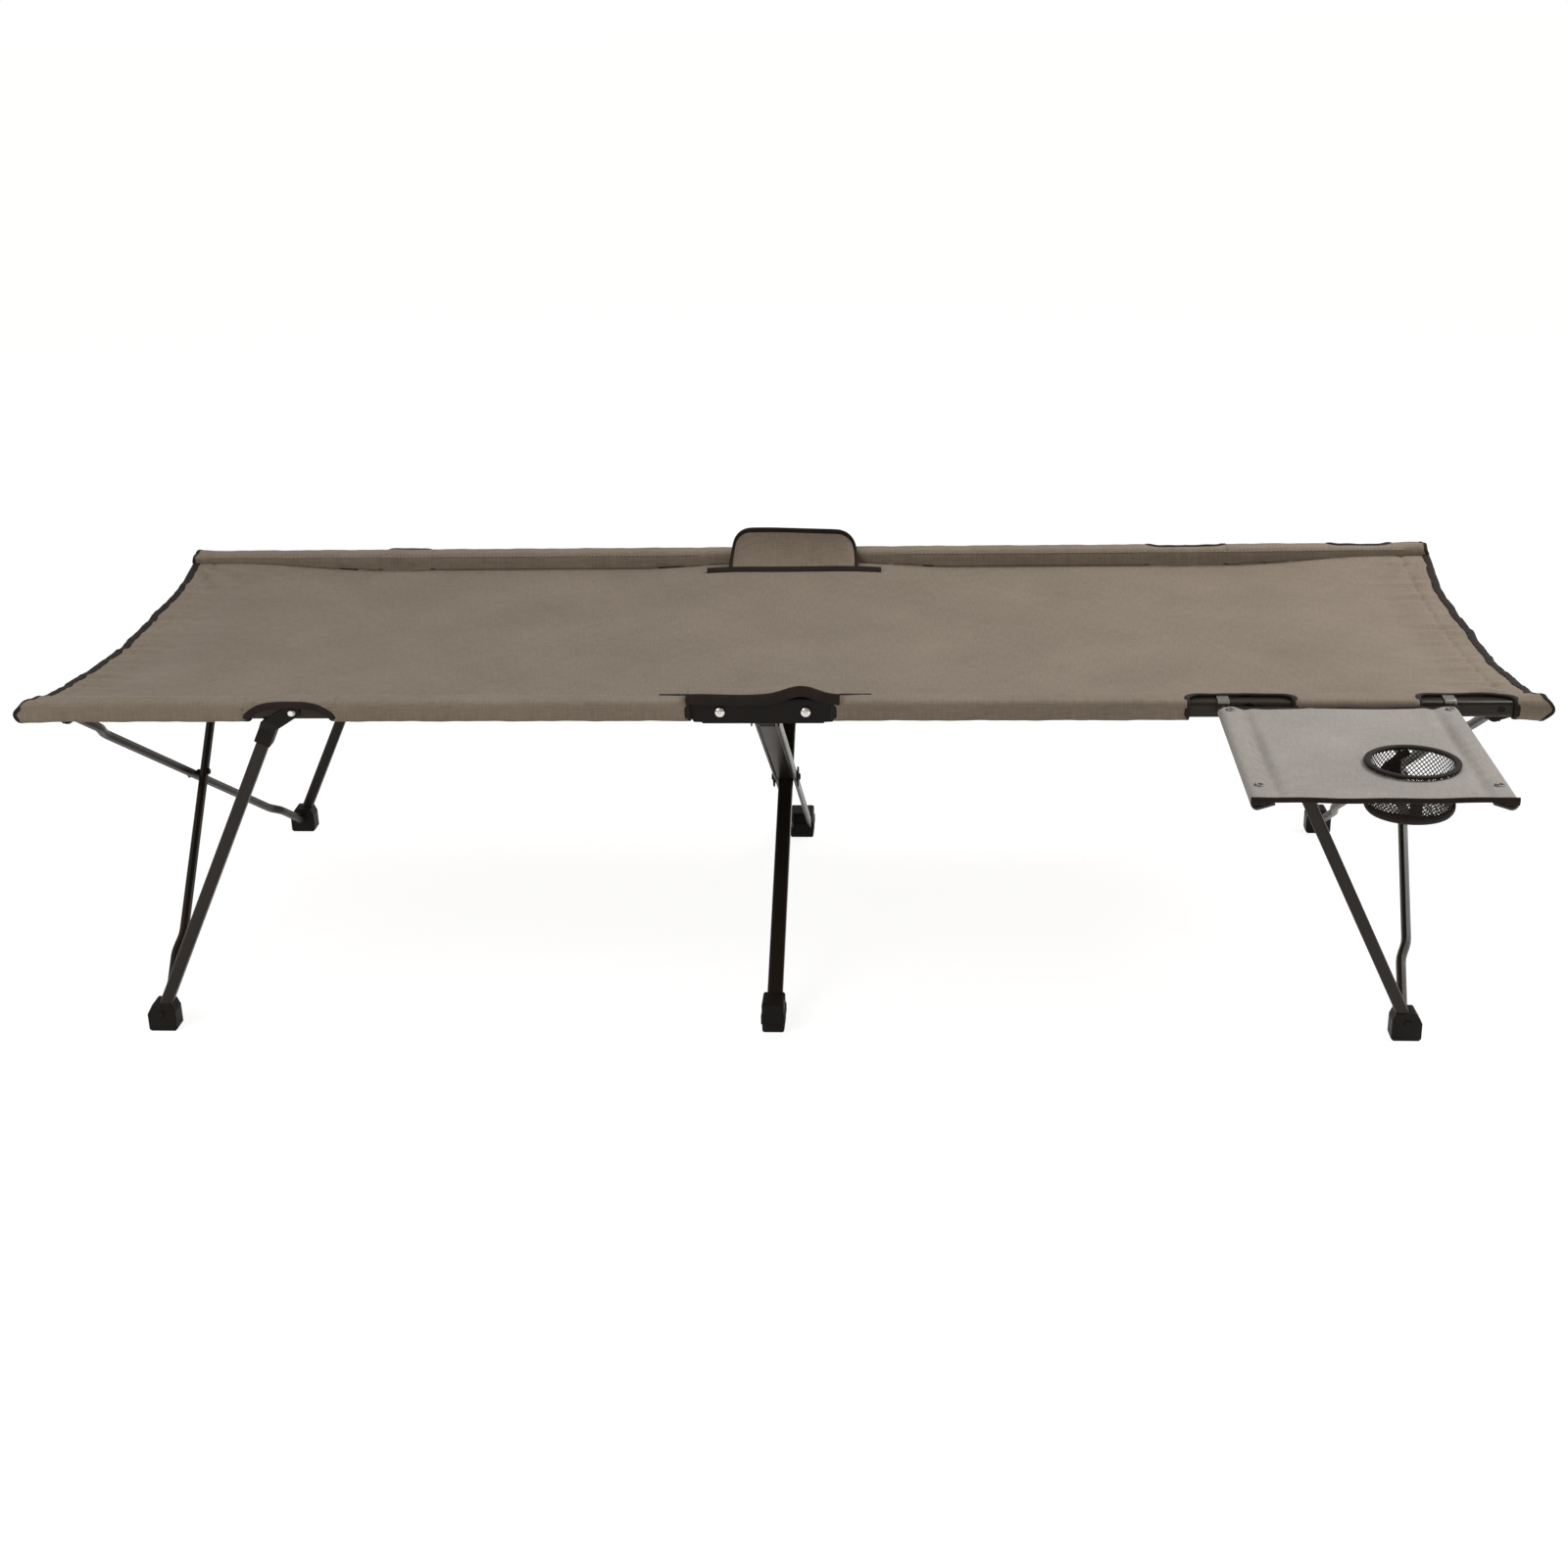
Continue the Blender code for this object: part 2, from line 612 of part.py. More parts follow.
def middle_foot_mesh(width, sockets):
    """Boot with a flat sole; the leg's end sits in a socket that opens on the inner side."""
    outer_y = -(LEG_Y + MIDDLE_FOOT_REACH)
    inner_y = outer_y + MIDDLE_FOOT_DEPTH
    body = box((-width / 2, outer_y, 0), (width / 2, inner_y, MIDDLE_FOOT_HEIGHT))
    body = bevelled(body, 0.003, 2)
    band = bevelled(box((-width / 2 - 0.001, outer_y - 0.001, MIDDLE_FOOT_HEIGHT * 0.30),
                        (width / 2 + 0.001, inner_y + 0.001, MIDDLE_FOOT_HEIGHT * 0.62)), 0.001, 1)
    tools = []
    socket_length = 0.060
    for x, socket_width in sockets:
        outline = rounded_rectangle(socket_width + 2 * FIT, MIDDLE_LEG_DEPTH + 2 * FIT, 0.001, 1)
        tools.append(put(slab([outline], socket_length), leg_frame(LEG_LENGTH + FIT - socket_length / 2, x)))
    return cut(joined(body, band), *tools)


def crossing_pin_mesh():
    centre = LEG_TOP + DOWN_LEG * LEG_LENGTH / 2
    washer = 0.002
    face = BAR_OUTER + FIT
    shank = along(cylinder(SCREW_RADIUS, 2 * face + washer, PIN_SIDES), centre, (1, 0, 0))
    heads = []
    for sign in (-1, 1):
        disc = cylinder(CROSSING_WASHER_RADIUS, washer, 24, CROSSING_WASHER_RADIUS - 0.001)
        heads.append(along(disc, centre + Vector((sign * (face + washer / 2), 0, 0)), (sign, 0, 0)))
        dome = cylinder(0.0055, 0.003, 16, 0.004)
        heads.append(along(dome, centre + Vector((sign * (face + washer + 0.001), 0, 0)), (sign, 0, 0)))
    return joined(shank, *heads)


# End frames: made for the +X, +Y corner

SLOPE_DOWN = Vector((-LEAN_RUN, 0, -LEAN_DROP)).normalized()
PLANE_NORMAL = Vector((LEAN_DROP, 0, -LEAN_RUN)).normalized()
HUB_POINT = Vector((LEG_TOP_X, LEG_Y, LEG_TOP_Z))
CROSS_LEG_DOWN = (Vector((0, -1, 0)) * math.cos(LEG_ANGLE) + SLOPE_DOWN * math.sin(LEG_ANGLE)).normalized()


def hub_mesh():
    """Fork under the rail's end: a round web, a pin out of it and two cheeks with the leg's pin."""
    web_outer = RAIL_Y - RAIL_SIDE - 2 * FIT - TAB_PLATE
    web_inner = web_outer - HUB_PLATE
    web = along(cylinder(HUB_RADIUS, HUB_PLATE, 18), (LEG_TOP_X, (web_outer + web_inner) / 2, LEG_TOP_Z), (0, 1, 0))
    pin_end = web_outer + TAB_PLATE + 2 * FIT
    pin_length = pin_end - web_inner
    pin = along(cylinder(LEG_PIN_RADIUS, pin_length, PIN_SIDES), (LEG_TOP_X, web_inner + pin_length / 2, LEG_TOP_Z), (0, 1, 0))
    stub_height = 0.0012
    stub = along(cylinder(0.0031, stub_height, 12), (LEG_TOP_X, pin_end + stub_height / 2, LEG_TOP_Z), (0, 1, 0))
    tools = [pin, stub]
    cheek_inner = CROSS_LEG_RADIUS + FIT
    reach = web_outer - LEG_Y - HUB_PLATE / 2
    for sign in (-1, 1):
        outline = [(reach, -HUB_RADIUS + 0.001), (reach, HUB_RADIUS - 0.001)]
        outline += arc((0, 0), HUB_RADIUS - 0.001, 90, 270, 7)
        offset = PLANE_NORMAL * sign * (cheek_inner + HUB_CHEEK / 2)
        tools.append(put(slab([outline], HUB_CHEEK), frame(HUB_POINT + offset, (0, 1, 0), -SLOPE_DOWN)))
    leg_pin = cylinder(LEG_PIN_RADIUS, 2 * (cheek_inner + HUB_CHEEK) + 0.002, PIN_SIDES)
    tools.append(along(leg_pin, HUB_POINT, PLANE_NORMAL))
    return joined(web, *tools)


def cross_leg_mesh(layer):
    """Round tube from the hub to the other side's foot. It steps out to its layer, +1 towards the cot's
    end and -1 towards its middle, so that the two legs of an end pass each other."""
    def step(distance):
        rise = min(max((distance - JOGGLE_START) / JOGGLE_LENGTH, 0.0), 1.0)
        return (1 - math.cos(math.pi * rise)) / 2

    stations = [(-0.0062, 0.30), (-0.0050, 0.64), (-0.0026, 0.92), (0.0, 1.0)]
    bend = [JOGGLE_START + JOGGLE_LENGTH * part / 5 for part in range(6)]
    half = stations + [(distance, 1.0) for distance in bend]
    other_half = [(LEG_LENGTH - distance, scale) for distance, scale in reversed(half)]
    points = []
    for distance, _ in half + other_half:
        offset = layer * CROSS_LEG_JOGGLE * step(distance) * step(LEG_LENGTH - distance)
        points.append(HUB_POINT + CROSS_LEG_DOWN * distance + PLANE_NORMAL * offset)
    radii = [scale for _, scale in half + other_half]
    body = tube(points, CROSS_LEG_RADIUS, radii)
    ends = len(stations)
    bore_points = points[ends:-ends]
    drills = [tube(bore_points, CROSS_LEG_RADIUS - CROSS_LEG_WALL, sides_level=1)]
    for distance in (0.0, LEG_LENGTH / 2):
        drill = cylinder(LEG_PIN_RADIUS + PIN_CLEARANCE, 0.060, PIN_SIDES)
        drills.append(along(drill, HUB_POINT + CROSS_LEG_DOWN * distance, PLANE_NORMAL))
    return cut(body, *drills)


def end_crossing_pin_mesh():
    centre = HUB_POINT + CROSS_LEG_DOWN * LEG_LENGTH / 2
    face = CROSS_LEG_JOGGLE + CROSS_LEG_RADIUS + FIT
    head_height = 0.002
    shank = along(cylinder(LEG_PIN_RADIUS, 2 * face + 0.002, PIN_SIDES), centre, PLANE_NORMAL)
    spacer = (CROSS_LEG_JOGGLE - CROSS_LEG_RADIUS - FIT) * 2
    washer = along(cylinder(0.0055, spacer, 16), centre, PLANE_NORMAL)
    heads = []
    for sign in (-1, 1):
        head = cylinder(0.005, head_height, 16, 0.0035)
        heads.append(along(head, centre + PLANE_NORMAL * sign * (face + head_height / 2), PLANE_NORMAL * sign))
    return joined(shank, washer, *heads)


KNUCKLE_POINT = Vector((STRUT_PIVOT_X, RAIL_Y, RAIL_HEIGHT))
STRUT_LINE = Vector((FOOT_PIVOT_X - STRUT_PIVOT_X, 0, FOOT_PIVOT_Z - RAIL_HEIGHT))
PIVOT_DISTANCE = STRUT_LINE.length
STRUT_LEAN = math.asin(STRUT_OFFSET / PIVOT_DISTANCE)
TO_FOOT = STRUT_LINE.normalized()
SIDEWAYS = Vector((-TO_FOOT.z, 0, TO_FOOT.x))
# The strut's own line starts STRUT_OFFSET off the pivot and ends at the foot's pivot.
STRUT_AXIS = TO_FOOT * math.cos(STRUT_LEAN) - SIDEWAYS * math.sin(STRUT_LEAN)
STRUT_SIDE = Vector((-STRUT_AXIS.z, 0, STRUT_AXIS.x))
STRUT_FOOT = KNUCKLE_POINT + STRUT_LINE
STRUT_REACH = PIVOT_DISTANCE * math.cos(STRUT_LEAN)


def strut_frame(distance):
    """Local X along the rail's width and local Z down the strut, at a distance from the pivot."""
    centre = STRUT_FOOT - STRUT_AXIS * (STRUT_REACH - distance)
    return frame(centre, (0, 1, 0), STRUT_AXIS.cross(Vector((0, 1, 0))))


def strut_side_frame(y):
    """Local X down the strut and local Y off the pivot's line, at the pivot."""
    return frame((KNUCKLE_POINT.x, y, KNUCKLE_POINT.z), STRUT_AXIS, STRUT_SIDE)


def strut_mesh():
    outer = rounded_rectangle(STRUT_SIZE, STRUT_SIZE, STRUT_CORNER, 3)
    inner = rounded_rectangle(STRUT_SIZE - 2 * STRUT_WALL, STRUT_SIZE - 2 * STRUT_WALL, STRUT_CORNER - STRUT_WALL, 3)
    start = KNUCKLE_SOCKET_START + 0.006
    end = STRUT_REACH - 0.004
    return put(slab([outer, inner], end - start), strut_frame((start + end) / 2))


def knuckle_mesh():
    """Fork over the rail's sides that runs down into the socket of the strut."""
    width = RAIL_WIDTH + 2 * (FIT + KNUCKLE_CHEEK)
    socket = STRUT_SIZE / 2 + FIT + KNUCKLE_SOCKET_WALL
    outline = arc((0, 0), KNUCKLE_EYE_RADIUS, 265, 100, 12)
    outline += [(KNUCKLE_SOCKET_START - 0.002, STRUT_OFFSET + socket),
                (KNUCKLE_SOCKET_END, STRUT_OFFSET + socket),
                (KNUCKLE_SOCKET_END, STRUT_OFFSET - socket),
                (KNUCKLE_SOCKET_START + 0.002, STRUT_OFFSET - socket)]
    body = put(slab([outline], width), strut_side_frame(RAIL_Y))
    eye = [(-0.020, -0.020), (0.0, -0.020), (KNUCKLE_SOCKET_START, 0.004),
           (KNUCKLE_SOCKET_START, STRUT_OFFSET + socket + 0.02), (-0.020, STRUT_OFFSET + socket + 0.02)]
    slot = put(slab([eye], RAIL_WIDTH + 2 * FIT), strut_side_frame(RAIL_Y))
    bore = rounded_rectangle(STRUT_SIZE + 2 * FIT, STRUT_SIZE + 2 * FIT, STRUT_CORNER, 3)
    bore_start = KNUCKLE_SOCKET_START + 0.006 - FIT
    bore_end = KNUCKLE_SOCKET_END + 0.01
    bore_cut = put(slab([bore], bore_end - bore_start), strut_frame((bore_start + bore_end) / 2))
    pin_hole = along(cylinder(SCREW_RADIUS + PIN_CLEARANCE, 0.06, PIN_SIDES), KNUCKLE_POINT, (0, 1, 0))
    waist = []
    socket_side = STRUT_SIZE / 2 + FIT + KNUCKLE_SOCKET_WALL
    for sign in (-1, 1):
        taper = [(KNUCKLE_SOCKET_END + 0.005, sign * socket_side),
                 (KNUCKLE_SOCKET_START + 0.008, sign * socket_side),
                 (KNUCKLE_SOCKET_START - 0.006, sign * (width / 2 + 0.0002)),
                 (KNUCKLE_SOCKET_END + 0.005, sign * (width / 2 + 0.0002))]
        turn = frame((KNUCKLE_POINT.x, RAIL_Y, KNUCKLE_POINT.z), STRUT_AXIS, (0, 1, 0))
        waist.append(put(slab([taper], 0.12), turn))
    return cut(body, slot, bore_cut, pin_hole, *waist)


def knuckle_screw_mesh():
    face = RAIL_SIDE + 2 * FIT + KNUCKLE_CHEEK
    shank = along(cylinder(SCREW_RADIUS, 2 * face + 0.001, PIN_SIDES), KNUCKLE_POINT, (0, 1, 0))
    head = cylinder(SCREW_HEAD_RADIUS, SCREW_HEAD_HEIGHT, 16, SCREW_HEAD_RADIUS * 0.6)
    along(head, KNUCKLE_POINT + Vector((0, face + SCREW_HEAD_HEIGHT / 2, 0)), (0, 1, 0))
    nut_height = 0.0012
    nut = cylinder(SCREW_HEAD_RADIUS, nut_height, 6)
    along(nut, KNUCKLE_POINT - Vector((0, face + nut_height / 2, 0)), (0, 1, 0))
    return joined(shank, head, nut)


def end_foot_mesh():
    """Faceted block with a flat sole; the strut is fixed in it and the cross leg's end lies beside it."""
    x = STRUT_FOOT.x
    half = FOOT_WIDTH / 2
    outline = [(x - half + 0.003, 0), (x + half - 0.003, 0), (x + half, 0.003), (x + half, FOOT_HEIGHT * 0.62),
               (x + half * 0.55, FOOT_HEIGHT), (x - half * 0.75, FOOT_HEIGHT), (x - half, FOOT_HEIGHT * 0.72),
               (x - half, 0.003)]
    centre = RAIL_Y + (FOOT_OUTER_REACH - FOOT_INNER_REACH) / 2
    body = put(slab([outline], FOOT_OUTER_REACH + FOOT_INNER_REACH), plane_xz(centre))
    body = bevelled(body, 0.0015, 2, math.radians(50))
    bore = rounded_rectangle(STRUT_SIZE + 2 * FIT, STRUT_SIZE + 2 * FIT, STRUT_CORNER, 3)
    bore_start = STRUT_REACH - 0.060
    bore_end = STRUT_REACH - 0.004 + FIT
    bore_cut = put(slab([bore], bore_end - bore_start), strut_frame((bore_start + bore_end) / 2))
    head = cylinder(0.005, 0.002, 16, 0.004)
    rivet = along(head, STRUT_FOOT + Vector((0, FOOT_OUTER_REACH + 0.0009, 0)), (0, 1, 0))
    return joined(cut(body, bore_cut), rivet)


# Fabric

def hem_section():
    """Loose hem over the rail: from under the rail round its outer side and top to the bed cloth's edge."""
    gap_y = RAIL_SIDE + SLEEVE_CLEARANCE
    gap_z = RAIL_TOP + SLEEVE_CLEARANCE
    t = SLEEVE_THICKNESS
    roll = 0.005
    edge = RAIL_HEIGHT + PANEL_EDGE_HIGH - PANEL_THICKNESS * 0.6
    inner_bottom = RAIL_Y - 0.006
    high_z = RAIL_HEIGHT + gap_z + t - roll
    low_z = RAIL_HEIGHT - gap_z - t + roll
    outer_y = RAIL_Y + gap_y + t - roll
    inner_y = RAIL_Y - gap_y - t + roll
    section = [(inner_y - roll + t, edge), (inner_y - roll, edge)]
    section += arc((inner_y, high_z), roll, 180, 90, 3)
    section += arc((outer_y, high_z), roll, 90, 0, 3)
    section += arc((outer_y, low_z), roll, 0, -90, 3)
    section += [(inner_bottom, low_z - roll), (inner_bottom, low_z - roll + t)]
    section += arc((outer_y, low_z), roll - t, -90, 0, 3)
    section += arc((outer_y, high_z), roll - t, 0, 90, 3)
    section += arc((inner_y, high_z), roll - t, 90, 180, 3)
    return section


def hem_meshes(with_table_notch):
    """Stretches of hem along +X between the openings for the hardware."""
    openings = [STRUT_NOTCH, TABLE_NOTCH] if with_table_notch else [STRUT_NOTCH]
    edges = [CENTRE_NOTCH]
    for low, high in openings:
        edges += [low, high]
    edges.append(RAIL_OUTER_END)
    stretches = []
    for start, end in zip(edges[0::2], edges[1::2]):
        stretches.append(put(slab([hem_section()], end - start), plane_yz((start + end) / 2)))
    return stretches


def smooth_step(value, low, high):
    part = min(max((value - low) / (high - low), 0.0), 1.0)
    return part * part * (3 - 2 * part)


def panel_height(x, across):
    """Height of the cloth's top at across, from -1 at the near hem to +1 at the far one. The edges hang
    at the hems, high enough over the hubs and the centre ears; in between the cloth drops off sooner."""
    distance = abs(x)
    past_centre = smooth_step(distance, PANEL_CENTRE_RISE[1], PANEL_CENTRE_RISE[0])
    at_hub = smooth_step(distance, LEG_TOP_X - PANEL_HUB_RISE[0], LEG_TOP_X - PANEL_HUB_RISE[1])
    dip = past_centre * (1 - at_hub)
    fall = PANEL_SAG * (1 - across ** 2) + PANEL_SHOULDER * dip * (1 - across ** 6)
    return RAIL_HEIGHT + PANEL_EDGE_HIGH - fall


def panel_mesh(start, end, columns, half_width, rows=10):
    """Sagged sheet between the two hems; the ends of the bed bow inward between the rails."""
    bm = bmesh.new()
    layers = []
    for drop in (0.0, PANEL_THICKNESS):
        grid = []
        for column in range(columns + 1):
            part = column / columns
            line = []
            for row in range(rows + 1):
                across = -1 + 2 * row / rows
                bow = PANEL_END_BOW * (1 - across ** 2)
                low = start + (bow if start < -PANEL_JOIN_X * 2 else 0.0)
                high = end - (bow if end > PANEL_JOIN_X * 2 else 0.0)
                x = low + (high - low) * part
                line.append(bm.verts.new((x, across * half_width, panel_height(x, across) - drop)))
            grid.append(line)
        layers.append(grid)
    top, bottom = layers
    for column in range(columns):
        for row in range(rows):
            corners = [(column, row), (column + 1, row), (column + 1, row + 1), (column, row + 1)]
            bm.faces.new([top[i][j] for i, j in corners])
            bm.faces.new([bottom[i][j] for i, j in reversed(corners)])
    rim = [(i, 0) for i in range(columns)] + [(columns, j) for j in range(rows)]
    rim += [(i, rows) for i in range(columns, 0, -1)] + [(0, j) for j in range(rows, 0, -1)]
    for (i, j), (k, m) in zip(rim, rim[1:] + rim[:1]):
        bm.faces.new([bottom[i][j], bottom[k][m], top[k][m], top[i][j]])
    mesh = bpy.data.meshes.new("panel")
    bm.to_mesh(mesh)
    bm.free()
    return mesh


def bed_end_mesh(side_x):
    """The cloth of one half of the bed with its hems on both rails."""
    sewn = RAIL_Y - RAIL_SIDE - SLEEVE_CLEARANCE - SLEEVE_THICKNESS / 2
    panel = panel_mesh(PANEL_JOIN_X + FIT, PANEL_HALF_LENGTH, 18, sewn)
    hems = hem_meshes(side_x > 0)
    hems += [corner_copy(hem, 1, -1) for hem in hem_meshes(side_x > 0)]
    bites = []
    for side_y in (-1, 1):
        start = side_y * (RAIL_Y - NOTCH_BITE)
        end = side_y * RAIL_Y
        bites.append(box((STRUT_NOTCH[0], min(start, end), RAIL_HEIGHT - PANEL_SAG * 2),
                         (STRUT_NOTCH[1], max(start, end), RAIL_HEIGHT + PANEL_SAG)))
    return corner_copy(joined(cut(panel, *bites), *hems), side_x, 1)


def far_flap_mesh():
    """Cover that stands up beside the far centre bracket, with rounded upper corners."""
    strip_face = RAIL_Y - RAIL_SIDE - 2 * FIT - BRACKET_PLATE - NUT_STRIP
    y = strip_face - FIT - FLAP_THICKNESS / 2
    bottom = RAIL_HEIGHT + PANEL_EDGE_HIGH + FIT
    outline = [(-FLAP_HALF_WIDTH, bottom), (FLAP_HALF_WIDTH, bottom)]
    outline += arc((FLAP_HALF_WIDTH - FLAP_CORNER, FLAP_TOP - FLAP_CORNER), FLAP_CORNER, 0, 90, 5)
    outline += arc((-FLAP_HALF_WIDTH + FLAP_CORNER, FLAP_TOP - FLAP_CORNER), FLAP_CORNER, 90, 180, 5)
    return put(slab([outline], FLAP_THICKNESS), plane_xz(y))


def near_flap_mesh():
    """Cover that lies over the near centre bracket, with a low wave along its length."""
    half = FLAP_HALF_WIDTH
    base = RAIL_HEIGHT + RAIL_TOP + BRACKET_TOP_CLEARANCE + BRACKET_PLATE + FIT
    steps = 24
    upper = []
    lower = []
    for index in range(steps + 1):
        x = -half + 2 * half * index / steps
        rise = 0.006 * math.exp(-((x - 0.045) / 0.030) ** 2)
        lower.append((x, base + rise))
        upper.append((x, base + rise + SLEEVE_THICKNESS))
    outline = lower + list(reversed(upper))
    return put(slab([outline], NEAR_FLAP_REACH), plane_xz(-RAIL_Y + 0.001))


# Side table: hooked over the near rail

ARM_X = (TABLE_LEFT + ARM_RADIUS + 0.001, TABLE_RIGHT - ARM_RADIUS - 0.001)


def table_arm_mesh(x):
    """One arm: a straight tube along the table's side, rounded at the front, with the folded strap at its
    back that hooks over the rail's top."""
    side = RAIL_SIDE + FIT
    outer = side + HOOK_PLATE
    under = RAIL_HEIGHT + RAIL_TOP + FIT
    top = under + HOOK_PLATE
    lip = RAIL_HEIGHT - HOOK_DROP
    fold = 0.003
    section = [(-RAIL_Y - outer, lip), (-RAIL_Y - side, lip), (-RAIL_Y - side, under),
               (-RAIL_Y + side, under), (-RAIL_Y + side, lip), (-RAIL_Y + outer, lip)]
    section += arc((-RAIL_Y + outer - fold, top - fold), fold, 0, 90, 3)
    section += arc((-RAIL_Y - outer + fold, top - fold), fold, 90, 180, 3)
    hook = put(slab([section], HOOK_WIDTH), plane_yz(x))
    back = -(RAIL_Y + outer - HOOK_PLATE / 2)
    front = -(RAIL_Y + TABLE_FRONT - 0.004)
    points = [(x, back, RAIL_HEIGHT), (x, front + 0.005, RAIL_HEIGHT), (x, front + 0.002, RAIL_HEIGHT),
              (x, front, RAIL_HEIGHT)]
    arm = tube(points, ARM_RADIUS, [1.0, 1.0, 0.8, 0.35], 2)
    return joined(arm, hook)


def table_spreader_mesh():
    """Bar between the arms, behind the cloth, clear of the bed's hem."""
    hem_face = RAIL_Y + RAIL_SIDE + SLEEVE_CLEARANCE + SLEEVE_THICKNESS
    y = -(hem_face + SPREADER_GAP + SPREADER_RADIUS)
    length = ARM_X[1] - ARM_X[0] - 2 * (ARM_RADIUS + FIT)
    bar = cylinder(SPREADER_RADIUS, length, 14)
    return along(bar, ((ARM_X[0] + ARM_X[1]) / 2, y, RAIL_HEIGHT), (1, 0, 0))


CUP_CENTRE = (CUP_X, -(RAIL_Y + CUP_FROM_RAIL))


def table_cloth_mesh():
    top = TABLE_CLOTH_BASE + TABLE_CLOTH_THICKNESS
    outline = [(TABLE_LEFT, -(RAIL_Y + TABLE_BACK)), (TABLE_LEFT, -(RAIL_Y + TABLE_FRONT)),
               (TABLE_RIGHT, -(RAIL_Y + TABLE_FRONT)), (TABLE_RIGHT, -(RAIL_Y + TABLE_BACK))]
    hole = circle(CUP_CENTRE, CUP_RADIUS + POCKET_WALL + FIT, 32)
    mesh = slab([outline, hole], TABLE_CLOTH_THICKNESS)
    return put(mesh, Matrix.Translation((0, 0, top - TABLE_CLOTH_THICKNESS / 2)))


def cup_pocket_mesh():
    """Thin cup with an open mouth, hung through the cloth's hole."""
    top = TABLE_CLOTH_BASE + TABLE_CLOTH_THICKNESS - FIT
    bottom = top - CUP_DEPTH
    outer = cylinder(CUP_RADIUS + POCKET_WALL, CUP_DEPTH, 32)
    along(outer, (*CUP_CENTRE, (top + bottom) / 2), (0, 0, 1))
    hollow = cylinder(CUP_RADIUS, CUP_DEPTH, 32)
    along(hollow, (*CUP_CENTRE, (top + bottom) / 2 + POCKET_WALL), (0, 0, 1))
    return cut(outer, hollow)


def cup_rim_mesh():
    """Bound edge round the mouth, lying on the cloth."""
    base = TABLE_CLOTH_BASE + TABLE_CLOTH_THICKNESS + FIT
    height = 0.002
    ring = slab([circle(CUP_CENTRE, CUP_RADIUS + RIM_WIDTH, 32), circle(CUP_CENTRE, CUP_RADIUS - 0.0005, 32)], height)
    return put(ring, Matrix.Translation((0, 0, base + height / 2)))


# Assembly

